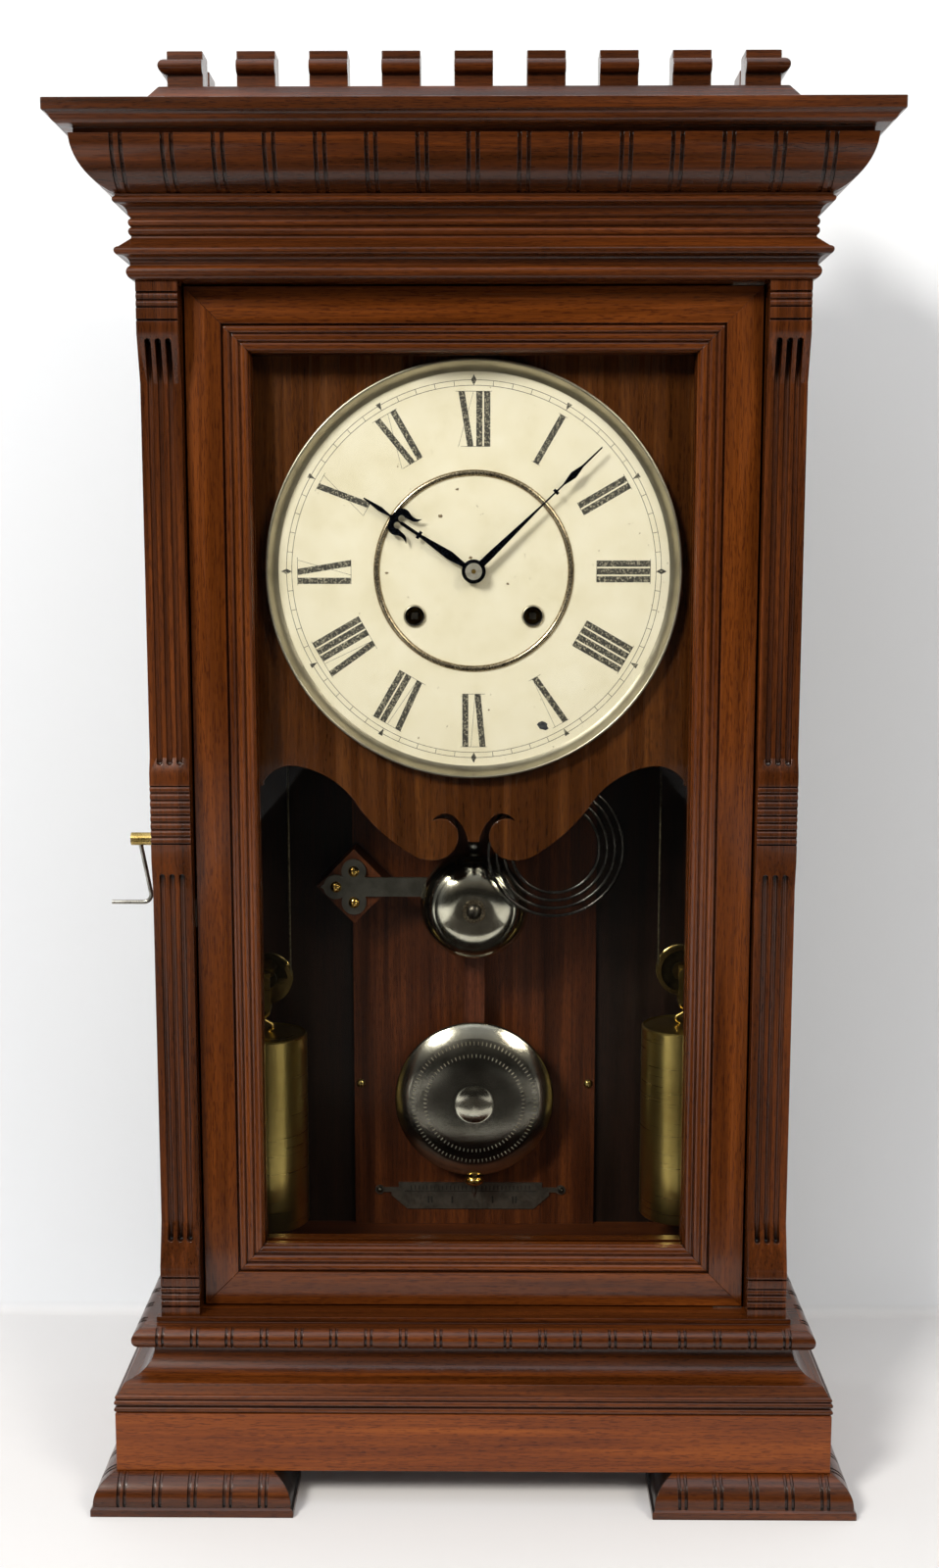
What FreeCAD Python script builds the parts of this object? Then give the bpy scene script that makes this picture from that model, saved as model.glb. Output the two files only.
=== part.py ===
import FreeCAD
import Part
import math
import os
from FreeCAD import Vector

# A weight-driven eight-day shelf clock in a walnut case, in millimetres.
# Origin under the middle of the base, X to the right, Y towards the back, Z up.

os.makedirs("parts", exist_ok=True)

# General
overrun = 1.0                 # how far a cutter runs past what it cuts
tiny = 0.001                  # two points closer than this are one
fit = 0.05                    # running clearance round a shaft
shake = 0.3                   # end play of a turning piece
slack = 0.4                   # gap between wooden pieces that move past each other

# Case boards
back_y = 73.0                 # outer face of the backboard
back_thick = 8.0
side_half = 151.0             # centre line to the outer face of a side board
side_thick = 14.0
side_front = -15.0            # front edge of a side board
floor_thick = 7.0
ceiling_thick = 12.0
batten_wide = 8.0
batten_deep = 7.0
centre_board_half = 66.5      # raised board behind the pendulum
centre_board_thick = 3.0

# Heights of the stack, from the table up
foot_high = 18.3
plinth_high = 29.8
cove_high = 29.2
base_board_high = 12.7
opening_high = 503.9          # from the base board to the neck moulding
neck_high = 37.4
ovolo_high = 22.7
top_board_high = 12.8
crest_high = 32.3

# How far each moulding stands out from the pilasters
pillar_proud = 5.5            # pilasters and mouldings stand outside the side boards
pillar_front = -40.0
foot_out = 31.2
plinth_out = 20.1
cove_out = 20.5
base_board_out = 12.8
neck_out = 8.1
ovolo_out = 23.6
top_board_out = 33.0
crest_in = 14.4               # the crest's neck stands back from the pilasters
crest_flare = 10.4            # and its foot flares out again
crest_thick = 14.4
moulding_thick = 12.0         # stock of the plinth and the feet
return_deep = 15.0            # short return at the inner end of a foot
foot_inner = 88.0             # inner end of a front foot

# Sections of the mouldings, from bottom to top: shares of reach and height
neck_shares = [
    (0, 0), (0.42, 0.09, 0.22, 0.17), (0.32, 0.25, 0.81, 0.28), (0.98, 0.33, 0.77, 0.38),
    (0.14, 0.5), (0.12, 0.524), (0.27, 0.578, 0.12, 0.631), (0.27, 0.684, 0.12, 0.738),
    (0.27, 0.775), (0.42, 0.855, 0.85, 0.89), (1, 0.93, 0.86, 0.97), (0.86, 1),
]
ovolo_shares = [(0.3, 0), (0.715, 0.283, 1, 1)]
top_board_shares = [
    (0.66, 0), (0.66, 0.22), (0.827, 0.22), (0.875, 0.28, 0.912, 0.4), (0.95, 0.52, 1, 0.586), (1, 1),
]
crest_shares = [(1, 0), (1, 0.22), (0.34, 0.486), (0, 0.486), (0, 0.675), (0.36, 0.78, 0, 0.882), (0, 1)]
base_board_shares = [(0.62, 0), (1, 0.3935, 0.62, 0.787), (0.16, 0.787), (0.16, 1)]
cove_shares = [
    (0.93, 0), (0.93, 0.02), (1, 0.07, 0.93, 0.12), (0.93, 0.14), (1, 0.188, 0.93, 0.236),
    (0.98, 0.278, 0.9, 0.32), (0.9, 0.333), (0.79, 0.476), (0.52, 0.527), (0.25, 0.68, 0.166, 0.97),
    (0.166, 1),
]
plinth_shares = [(1, 0), (1, 1)]
foot_shares = [(1, 0), (1, 0.186), (0.96, 0.246), (0.897, 0.71, 0.673, 1)]

# Carved grooves, always in pairs
ovolo_pairs = 15
ovolo_pitch = 22.7
ovolo_pair_gap = 4.1
ovolo_groove = 1.7
base_pairs = 19
base_pitch = 17.25
base_pair_gap = 2.9
base_groove = 1.2
foot_pairs = 5
foot_pitch = 17.4
foot_pair_gap = 3.2
foot_groove = 1.4
groove_deep = 1.2

# Crest blocks
block_pairs = 4               # blocks on each side of the middle one
block_pitch = 33.6
block_gap = 15.7
side_blocks = 3
gap_floor_share = 0.486       # the gaps reach down to the rail

# Pilasters
pillar_wide = 19.4
pillar_relief = 6.0           # blocks stand this far in front of the fluted shaft
pillar_mid_relief = 2.4
pillar_foot_block = 25.0
pillar_foot_ramp = 22.0
pillar_head_block = 24.0
pillar_head_ramp = 22.0
pillar_mid_low = 231.0        # middle block, above the base board
pillar_mid_high = 43.0
pillar_mid_ramp = 7.0
reed_count = 8
reed_shares = (0.18, 0.85)    # stretch of the middle block that is reeded
flute_count = 3
flute_pitch = 4.8
flute_wide = 2.8
flute_deep = 1.3
flute_run = 10.0              # the flutes run this far up into a ramp
head_shares = [
    (1, 0), (1, 0.24), (0.8, 0.262), (1, 0.285), (1, 0.492), (0.8, 0.5), (1, 0.571, 0.8, 0.642),
    (1, 0.715, 0.8, 0.788), (1, 0.805), (1, 1),
]
foot_block_shares = [
    (1, 0), (1, 0.15), (0.8, 0.165), (1, 0.24, 0.8, 0.31), (1, 0.38, 0.8, 0.445), (1, 0.51, 0.8, 0.58),
    (1, 0.6), (1, 0.755), (0.8, 0.775), (1, 0.8), (1, 1),
]

# Door
door_gap = 1.2                # between the door and each pilaster
door_lift = 1.0               # above the base board and below the neck
door_front = -29.0
door_thick = 18.0
door_member = 29.6            # outer edge to the sight edge
door_flat = 16.8              # outer edge to the reeding
glass_thick = 2.0
glass_back = 10.0             # front face of the door to the front face of the glass
rebate_wide = 3.6
bead_thick = 4.0
door_step = 6.5               # the reeding steps down this much towards the glass
pivot_in = 2.5                # pivot pin from both outer faces of the door
pivot_r = 1.2
pivot_long = 8.0
pivot_plate_thick = 0.7
pivot_plate_wide = 12.0
reeding_shares = [
    (0, 0), (0.04, 0.25), (0.19, 0.06, 0.335, 0.37), (0.49, 0.29, 0.64, 0.6), (0.8, 0.5, 0.96, 0.92), (1, 1),
]

# Door catch
catch_z = 293.0
catch_high = 14.0
catch_thick = 0.5
catch_from = -27.0
catch_to = 0.0
catch_bump = 0.25

# Dial panel
panel_front = -7.0
panel_thick = 5.0
panel_top_gap = 0.5
dial_z = 460.2
panel_drop = 144.3            # dial centre to the lowest point of the panel
panel_hole = 60.0
panel_shares = [
    (0.021, 0.935), (0.031, 0.899, 0.06, 0.857), (0.0936, 0.836, 0.147, 0.8565),
    (0.0833, 0.8635, 0.0563, 0.905), (0.07, 0.9605, 0.124, 0.997), (0.18, 0.998, 0.238, 0.974),
    (0.334, 0.905, 0.418, 0.818), (0.513, 0.72, 0.655, 0.668), (0.727, 0.685, 0.768, 0.722),
    (0.768, 0.737), (1, 0.737),
]

# Dial
dial_lip = 0.75               # the bezel's rim covers the dial's edge
dial_thick = 0.8
bezel_r = 101.75
bezel_wide = 5.65
bezel_high = 6.0
centre_ring_r = 49.3
centre_ring_wide = 3.1
centre_ring_high = 1.3
dial_hole = 5.0
eyelet_r = 5.4
eyelet_hole = 4.0
eyelet_high = 1.2
bezel_shares = [(0, 0), (0, 0.8), (0.09, 1, 0.25, 0.93), (0.5, 0.5, 1, 0.1), (1, 0)]

# Hands
hand_thick = 0.8
hour_hand_front = -11.4
minute_hand_front = -13.6
hour_hand_long = 64.3
minute_hand_long = 86.0
hour_hub = 5.9
minute_hub = 5.0
hand_nut_r = 4.1
hand_nut_thick = 1.8
hour_turn = 303.5             # degrees clockwise from twelve
minute_turn = 46.2
hour_hand_shares = [
    (0, 0.017), (0.0855, 0.017), (0.218, 0.034), (0.358, 0.0225), (0.485, 0.0125), (0.485, 0.031),
    (0.51, 0.031), (0.51, 0.0125), (0.658, 0.0135), (0.7, 0.036, 0.659, 0.048), (0.613, 0.056),
    (0.574, 0.067, 0.544, 0.112), (0.585, 0.0895, 0.645, 0.0995), (0.698, 0.104, 0.73, 0.079),
    (0.745, 0.048, 0.751, 0.014), (0.762, 0.007), (0.849, 0.0195), (1, 0.0055),
]
minute_hand_shares = [
    (0, 0.0203), (0.058, 0.0203), (0.14, 0.0198), (0.29, 0.0145), (0.523, 0.0058), (0.635, 0.0047),
    (0.635, 0.0174), (0.653, 0.0174), (0.653, 0.0047), (0.7, 0.0047), (0.779, 0.0205),
    (0.85, 0.0064), (1, 0.0041),
]

# Movement plates
plate_front = 8.0             # outer face of the front plate
plate_thick = 2.0
plate_space = 30.0            # between the plates
plate_half = 66.0
plate_down = 52.0
plate_up = 68.0
pillar_rod = 3.2
pillar_stud = 1.6
pillar_nut = 3.4
pillar_nut_thick = 2.0
post_r = 4.5
pillar_low = (60.0, -46.0)
pillar_high = (48.0, 62.0)

# Clockwork
fine = 0.5                    # module of the train
coarse = 0.6                  # module of the great wheels
arbor_r = 1.1
pivot_small = 0.6
wheel_thick = 1.5
pinion_long = 3.5
great_teeth = 84
great_pinion = 14
second_teeth = 64
centre_pinion = 16
centre_teeth = 72
third_pinion = 8
third_teeth = 70
escape_pinion = 7
escape_teeth = 34
escape_r = 14.0
escape_rise = 38.0
verge_rise = 57.1
strike_second_teeth = 60
pin_pinion = 12
pin_teeth = 60
warning_pinion = 10
warning_teeth = 56
fly_pinion = 8
pin_count = 6
cannon_teeth = 15
minute_teeth = 45
minute_pinion = 12
hour_teeth = 48
winding_x = 29.1
winding_drop = 21.8
winding_square = 3.2
winding_square_front = -8.6
strike_angles = (103.6, 56.3, 166.0, 64.0)   # directions of the strike arbors, each from the last
rim_wide = 2.2
wheel_hub = 4.0
arm_wide = 2.2
wheel_arms = 4
addendum_share = 0.8          # tooth tip above the pitch circle, in modules
dedendum_share = 1.15
tooth_root_share = 0.5        # tooth width at the root, in pitches
tooth_tip_share = 0.2

# Where each wheel lies, from the inner face of the front plate
great_at = 3.0
second_at = 26.0
centre_at = 17.0
third_at = 11.0
escape_at = 6.0
strike_second_at = 24.0
pin_at = 14.0
warning_at = 8.0
fly_at = 18.0
fly_long = 9.0
fly_half = 11.0
fly_thick = 0.6
cannon_back = 6.0             # motion work, in front of the front plate
motion_gap = 3.5

# Drums, ratchets and winding arbors
drum_r = 11.0
drum_from = 8.0
drum_long = 15.0
ratchet_r = 9.0
ratchet_thick = 1.5
ratchet_teeth = 20

# Verge, crutch and pendulum
verge_clear = 1.7             # pallet tips to the escape wheel's teeth
verge_span = 50.3             # degrees from the line of centres to a pallet
verge_thick = 3.0
verge_arm = 2.4
crutch_y = 44.0
crutch_thick = 1.5
crutch_long = 66.0
crutch_wide = 3.0
prong = 1.2
cock_half = 4.0
cock_y = 57.0
cock_thick = 4.0
cock_rise = 8.0
cock_drop = 4.5
suspension_pin = 0.8
suspension_eye = 2.0
suspension_thick = 0.5
suspension_wide = 4.0
suspension_y = 48.5
rod_y = 48.2
rod_thick = 3.0
rod_half = 5.5
rod_top = 500.0
bob_z = 173.9
bob_r = 43.2
bob_thick = 10.0
bob_edge = 1.6
bob_boss_r = 10.5
bob_boss_high = 1.6
bob_shares = [
    (0.977, 0), (1, 0.1, 0.977, 0.2), (0.88, 0.56, 0.79, 0.8), (0.77, 0.93, 0.74, 0.8), (0.66, 0.88),
    (0.62, 1.02, 0.58, 0.94), (0.3, 1),
]
rod_tail = 12.0               # threaded tail of the rod, below the bob
tail_r = 1.5
tail_point = 3.5
nut_r = 5.8
nut_high = 5.0
nut_below = 0.6
nut_end_share = 0.7           # radius at the nut's ends, of its radius at the middle

# Weights, pulleys and cables
weight_x = 109.6
weight_y = 30.0
weight_r = 20.5
weight_high = 104.0
weight_low = 117.0            # bottom of the right weight
left_lower = 5.0              # the left weight hangs lower
weight_rim = 0.8
weight_dome = 1.5
pulley_rise = 29.8            # weight top to pulley centre
pulley_r = 13.2
pulley_half = 2.8
pulley_hub = 5.0
axle_r = 1.2
cheek_thick = 1.0
cheek_wide = 3.2
cheek_up = 3.0
cheek_down = 15.5
bridge_high = 2.0
hook_wire = 1.1
hook_bow = 3.5
hook_round = 1.5
hook_shares = [(0, 0), (0, 0.15), (-1, 0.35), (1, 0.65), (0, 0.85), (0, 1)]
cable_r = 0.6
cable_reach = 12.2            # pulley centre to the middle of the cable
cable_top = 575.0

# Bell
bell_z = 285.0
bell_r = 28.5
bell_front = 16.0
bell_deep = 18.0
bell_wall = 1.2
bell_hole = 2.0
washer_r = 6.0
washer_thick = 1.2
bell_screw_r = 4.0
bell_screw_thick = 2.0
bell_shares = [(0.23, 0), (0.5, 0.05, 0.72, 0.2), (0.93, 0.47, 1, 1)]
strap_y = 38.0
strap_thick = 2.0
strap_high = 10.2
strap_z = 293.4
strap_left = -64.0
strap_right = -22.0
lobe_r = 6.5
lobe_rise = 8.4
lobe_left = 9.6
strap_point = 17.6
screw_r = 3.0
screw_high = 1.6
bell_block_half = 20.0
bell_block_x = -64.0

# Gong
gong_x = 41.0
gong_z = 319.0
gong_y = 13.0
gong_r = 35.5
gong_pitch = 4.05
gong_half_turn_count = 8
gong_wire = 0.85
gong_bend = 3.0
gong_post_half = 3.5
gong_post_y = 20.0
gong_foot_half = 11.0
gong_foot_thick = 4.0

# Hammers
gong_hammer_at = (-8.0, -44.0)
gong_head_r = 4.0
gong_head_long = 11.0
gong_contact_angle = 60.0
gong_head_gap = 0.9
gong_arm_y = 24.0
bell_hammer_at = (-50.0, -44.0)
bell_head_r = 3.0
bell_head_gap = 0.8
bell_head_y = 31.0
hammer_wire = 1.0
hammer_tail = 9.0

# Beat scale
scale_x = -2.3
scale_z = 105.9
scale_high = 15.2
scale_half = 40.0
scale_thick = 0.8
scale_eye_x = 50.5
scale_eye_r = 2.6
scale_shares = [(0, 0), (0.88, 0), (1, 0.28), (1.1, 0.52), (1.1, 0.72), (1, 0.72), (1, 1), (0, 1)]
scale_screw_r = 1.7
board_screw_r = 2.6
board_screw_x = 63.0
board_screw_z = 178.0

# Winding crank on its peg
crank_y = 10.0
crank_z = 324.0
peg_r = 1.6
peg_long = 15.0
peg_plate_r = 5.0
peg_plate_thick = 1.2
crank_hub_r = 3.3
crank_hub_gap = 2.6
crank_hub_long = 22.0
crank_bore_long = 14.0
crank_wire = 1.1
crank_arm_out = 20.0          # these three are measured from the case's side
crank_elbow_out = 14.4
crank_drop = 33.0
crank_handle_out = 35.5
crank_round = 4.0
crank_start_share = 0.8       # where the wire leaves the hub, of the hub's radius

# Levels worked out from the stack
pillar_half = side_half + pillar_proud
plinth_z = foot_high
cove_z = plinth_z + plinth_high
base_board_z = cove_z + cove_high
opening_z = base_board_z + base_board_high
neck_z = opening_z + opening_high
ovolo_z = neck_z + neck_high
top_board_z = ovolo_z + ovolo_high
crest_z = top_board_z + top_board_high
side_inner = side_half - side_thick
backboard_y = back_y - back_thick
centre_board_y = backboard_y - centre_board_thick
pillar_inner = pillar_half - pillar_wide
door_half = pillar_inner - door_gap
door_z = opening_z + door_lift
door_top = neck_z - door_lift
door_back = door_front + door_thick
glass_front = door_front + glass_back
panel_back = panel_front + panel_thick
dial_front = panel_front - dial_thick
dial_r = bezel_r - dial_lip
plates_from = plate_front + plate_thick
plates_to = plates_from + plate_space
plates_end = plates_to + plate_thick

right = 1
left = -1


# A point in a plane square to X, Y or Z
def in_yz(x):
    return lambda u, v: Vector(x, u, v)


def in_xz(y):
    return lambda u, v: Vector(u, y, v)


def in_xy(z):
    return lambda u, v: Vector(u, v, z)


# A closed wire: a step of two numbers is a line to that point, one of four an arc through the first
def outline(steps, place):
    edges = []
    here = place(*steps[0])
    for step in steps[1:] + steps[:1]:
        there = place(*step[-2:])
        if there.distanceToPoint(here) < tiny:
            continue
        if len(step) == 4:
            edges.append(Part.Arc(here, place(*step[:2]), there).toShape())
        else:
            edges.append(Part.makeLine(here, there))
        here = there
    return Part.Wire(edges)


def face(steps, place):
    return Part.Face(outline(steps, place))


# Steps given in shares become steps in millimetres
def sized(shares, u_from, u_size, v_from, v_size):
    origin = (u_from, v_from)
    size = (u_size, v_size)
    return [tuple(origin[i % 2] + size[i % 2] * share for i, share in enumerate(step)) for step in shares]


def box(x0, x1, y0, y1, z0, z1):
    return Part.makeBox(x1 - x0, y1 - y0, z1 - z0, Vector(x0, y0, z0))


# A round bar along Y, from y0 to y1
def bar(x, z, r, y0, y1):
    return Part.makeCylinder(r, y1 - y0, Vector(x, y0, z), Vector(0, 1, 0))


def tube(x, z, r, hole, y0, y1):
    return bar(x, z, r, y0, y1).cut(bar(x, z, hole, y0 - overrun, y1 + overrun))


# A profile of (radius, y) steps turned about an axis along Y
def turned(steps, x, z):
    half = face(steps, lambda r, y: Vector(x + r, y, z))
    return half.revolve(Vector(x, 0, z), Vector(0, 1, 0), 360)


# The arc of a shallow dome, from its edge to its top on the axis
def dome(r, base, rise):
    ball = (r ** 2 + rise ** 2) / (2 * rise)
    centre = base + rise - ball
    half_way = math.copysign(math.sqrt(ball ** 2 - (r / 2) ** 2), rise)
    return r / 2, centre + half_way, 0, base + rise


def joined(shapes):
    whole = shapes[0]
    for shape in shapes[1:]:
        whole = whole.fuse(shape)
    return whole.removeSplitter()


def mirrored(shape):
    return shape.mirror(Vector(0, 0, 0), Vector(1, 0, 0))


def spun(shape, x, z, degrees):
    turned_shape = shape.copy()
    turned_shape.rotate(Vector(x, 0, z), Vector(0, 1, 0), degrees)
    return turned_shape


def save(name, shapes):
    if not isinstance(shapes, list):
        shapes = [shapes]
    solids = [solid for shape in shapes for solid in shape.Solids]
    for solid in solids:
        if not solid.isValid() or solid.Volume <= 0:
            print("check", name, solid.Volume, solid.isValid())
    whole = solids[0] if len(solids) == 1 else Part.makeCompound(solids)
    whole.exportStep("parts/" + name + ".step")


# A wire bent along a path of points with rounded corners, as one round rod
def bent_wire(points, radius, round_r):
    edges = []
    here = points[0]
    for before, corner, after in zip(points, points[1:], points[2:]):
        into = (corner - before).normalize()
        away = (after - corner).normalize()
        half_turn = into.getAngle(away) / 2
        cut = round_r * math.tan(half_turn)
        start = corner - into * cut
        end = corner + away * cut
        inwards = (away - into).normalize()
        middle = corner + inwards * (round_r / math.cos(half_turn) - round_r)
        edges.append(Part.makeLine(here, start))
        edges.append(Part.Arc(start, middle, end).toShape())
        here = end
    edges.append(Part.makeLine(here, points[-1]))
    return swept(edges, radius)


def rod_between(start, end, radius):
    return Part.makeCylinder(radius, start.distanceToPoint(end), start, end - start)


def swept(edges, radius):
    path = Part.Wire(edges)
    start = edges[0].valueAt(edges[0].FirstParameter)
    heading = edges[0].tangentAt(edges[0].FirstParameter)
    ring = Part.Wire(Part.makeCircle(radius, start, heading))
    return path.makePipeShell([ring], True, False)


# The section of a moulding, closed along its inner side
def section(steps, inner, place):
    return face([(inner, steps[0][-1])] + steps + [(inner, steps[-1][-1])], place)


def reach_of(steps):
    return max(max(step[0::2]) for step in steps)


# Front and side lengths of a moulding, mitred at the two front corners
def band(steps, front_in, side_in, side_back):
    reach = reach_of(steps) + overrun
    low = steps[0][-1]
    high = steps[-1][-1]
    half = pillar_half + reach
    far = pillar_front - reach
    front = section(steps, front_in, lambda e, z: Vector(-half, pillar_front - e, z)).extrude(Vector(2 * half, 0, 0))
    edge_x = pillar_half + side_in
    edge_y = pillar_front - side_in
    back = pillar_front - front_in
    front_plan = [(edge_x, back), (edge_x, edge_y), (half, far), (-half, far), (-edge_x, edge_y), (-edge_x, back)]
    front = front.common(face(front_plan, in_xy(low)).extrude(Vector(0, 0, high - low)))
    side = section(steps, side_in, lambda e, z: Vector(pillar_half + e, far, z))
    side = side.extrude(Vector(0, side_back - far, 0))
    side_plan = [(edge_x, edge_y), (half, far), (half, side_back), (edge_x, side_back)]
    side = side.common(face(side_plan, in_xy(low)).extrude(Vector(0, 0, high - low)))
    return [front, side, mirrored(side)]


# A board whose front and side edges carry a moulded section
def moulded_board(steps):
    inner = pillar_front - back_y
    reach = pillar_half + reach_of(steps)
    across = section(steps, inner, lambda e, z: Vector(-reach, pillar_front - e, z)).extrude(Vector(2 * reach, 0, 0))
    far = pillar_front - reach_of(steps)
    half = section(steps, -pillar_half, lambda e, z: Vector(pillar_half + e, far, z))
    along = half.extrude(Vector(0, back_y - far, 0))
    return across.common(joined([along, mirrored(along)]))


# What a carved groove takes out, following the moulding's own curve and open at the top
def groove_section(steps, place):
    reach = reach_of(steps) + overrun
    low = steps[0][-1]
    high = steps[-1][-1] + overrun
    shifted = [tuple(value - groove_deep if i % 2 == 0 else value for i, value in enumerate(step)) for step in steps]
    return face([(reach, low)] + shifted + [(shifted[-1][-2], high), (reach, high)], place)


def front_grooves(steps, width, places):
    cutters = []
    for x in places:
        cutter = groove_section(steps, lambda e, z: Vector(x - width / 2, pillar_front - e, z))
        cutters.append(cutter.extrude(Vector(width, 0, 0)))
    return Part.makeCompound(cutters)


def side_grooves(steps, width, places):
    cutters = []
    for y in places:
        cutter = groove_section(steps, lambda e, z: Vector(pillar_half + e, y - width / 2, z))
        cutters.append(cutter.extrude(Vector(0, width, 0)))
    return Part.makeCompound(cutters)


def pair_places(middles, gap):
    return [middle + side * gap / 2 for middle in middles for side in (left, right)]


# Places of the groove pairs along the front, and along a side from the same corner
def front_middles(count, pitch):
    return [(index - (count - 1) / 2) * pitch for index in range(count)]


def side_middles(first_x, pitch, end):
    first = pillar_front + pillar_half - first_x
    count = int((end - first) / pitch)
    return [first + index * pitch for index in range(count + 1)]


def grooved_band(steps, front_in, side_in, count, pitch, gap, width):
    front, side, other = band(steps, front_in, side_in, back_y)
    middles = front_middles(count, pitch)
    front = front.cut(front_grooves(steps, width, pair_places(middles, gap)))
    along = side_middles(middles[-1], pitch, back_y - pitch / 2)
    side = side.cut(side_grooves(steps, width, pair_places(along, gap)))
    return [front, side, mirrored(side)]


def crest_gallery():
    steps = sized(crest_shares, -crest_in, crest_flare, crest_z, crest_high)
    inner = -crest_in - crest_thick
    block = block_pitch - block_gap
    front_y = pillar_front + crest_in
    side_back = front_y + (side_blocks - 1) * block_pitch + block
    front, side, other = band(steps, inner, inner, side_back)
    gap_z = crest_z + crest_high * gap_floor_share
    top = crest_z + crest_high + overrun
    deep = crest_in + crest_thick + overrun
    gaps = []
    for index in range(-block_pairs, block_pairs):
        middle = (index + 0.5) * block_pitch
        x0 = middle - block_gap / 2
        gaps.append(box(x0, x0 + block_gap, pillar_front, pillar_front + deep, gap_z, top))
    front = front.cut(Part.makeCompound(gaps))
    gaps = []
    for index in range(side_blocks - 1):
        start = front_y + block + index * block_pitch
        gaps.append(box(pillar_half - deep, pillar_half, start, start + block_gap, gap_z, top))
    side = side.cut(Part.makeCompound(gaps))
    save("crest_gallery", [front, side, mirrored(side)])


def cornice():
    save("cornice_top_board", moulded_board(sized(top_board_shares, 0, top_board_out, top_board_z, top_board_high)))
    steps = sized(ovolo_shares, 0, ovolo_out, ovolo_z, ovolo_high)
    front_in = pillar_front - side_front
    side_in = side_half - pillar_half
    pieces = grooved_band(steps, front_in, side_in, ovolo_pairs, ovolo_pitch, ovolo_pair_gap, ovolo_groove)
    save("cornice_ovolo", pieces)
    save("neck_moulding", band(sized(neck_shares, 0, neck_out, neck_z, neck_high), front_in, side_in, back_y))


def base():
    steps = sized(base_board_shares, 0, base_board_out, base_board_z, base_board_high)
    board = moulded_board(steps)
    carved = steps[:2]
    middles = front_middles(base_pairs, base_pitch)
    board = board.cut(front_grooves(carved, base_groove, pair_places(middles, base_pair_gap)))
    along = side_middles(middles[-1], base_pitch, back_y - base_pitch / 2)
    cutters = side_grooves(carved, base_groove, pair_places(along, base_pair_gap))
    board = board.cut(cutters).cut(mirrored(cutters))
    save("base_board", board)
    inner = side_half - side_thick - pillar_half
    save("base_cove", band(sized(cove_shares, 0, cove_out, cove_z, cove_high), inner, inner, back_y))
    steps = sized(plinth_shares, 0, plinth_out, plinth_z, plinth_high)
    inner = plinth_out - moulding_thick
    save("plinth", band(steps, inner, inner, back_y))


def bracket_feet():
    steps = sized(foot_shares, 0, foot_out, 0, foot_high)
    inner = steps[-1][-2] - moulding_thick
    front, side, other = band(steps, inner, inner, back_y)
    reach = foot_out + overrun
    far = pillar_front - reach
    # the inner end is mitred to a short return with the same section
    corner_x = foot_inner + foot_out
    mitre = [
        (corner_x - inner, pillar_front - inner), (foot_inner - overrun, far), (pillar_half + reach, far),
        (pillar_half + reach, pillar_front - inner),
    ]
    front = front.common(face(mitre, in_xy(0)).extrude(Vector(0, 0, foot_high)))
    back = pillar_front - inner + return_deep
    end = section(steps, inner, lambda e, z: Vector(corner_x - e, far, z)).extrude(Vector(0, back - far, 0))
    end_plan = [(corner_x - inner, pillar_front - inner), (foot_inner - overrun, far), (foot_inner - overrun, back),
                (corner_x - inner, back)]
    end = end.common(face(end_plan, in_xy(0)).extrude(Vector(0, 0, foot_high)))
    carved = steps[2:]
    middle = (foot_inner + pillar_half + foot_out) / 2
    middles = [middle + offset for offset in front_middles(foot_pairs, foot_pitch)]
    front = front.cut(front_grooves(carved, foot_groove, pair_places(middles, foot_pair_gap)))
    along = side_middles(middles[-1], foot_pitch, back_y - foot_pitch / 2)
    side = side.cut(side_grooves(carved, foot_groove, pair_places(along, foot_pair_gap)))
    foot = [front, side, end]
    save("bracket_feet", foot + [mirrored(piece) for piece in foot])


def case_boards():
    side = box(side_inner, side_half, side_front, backboard_y, opening_z, top_board_z)
    ceiling = box(-side_inner, side_inner, side_front, backboard_y, neck_z, neck_z + ceiling_thick)
    floor_front = door_back + slack
    floor = box(-side_inner, side_inner, floor_front, backboard_y, opening_z, opening_z + floor_thick)
    panel_low = dial_z - panel_drop * panel_shares[-1][1]
    batten = box(side_inner - batten_wide, side_inner, panel_back, panel_back + batten_deep, panel_low, neck_z)
    save("case_boards", [side, mirrored(side), ceiling, floor, batten, mirrored(batten)])
    board = box(-side_half, side_half, backboard_y, back_y, opening_z, top_board_z)
    floor_top = opening_z + floor_thick
    centre = box(-centre_board_half, centre_board_half, centre_board_y, backboard_y, floor_top, neck_z)
    block_y = strap_y + strap_thick
    diamond = [(0, -1), (1, 0), (0, 1), (-1, 0)]
    corners = [(bell_block_x + bell_block_half * u, strap_z + bell_block_half * v) for u, v in diamond]
    block = face(corners, in_xz(block_y)).extrude(Vector(0, backboard_y - block_y, 0))
    save("backboard", [board, centre.cut(block), block])


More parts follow.
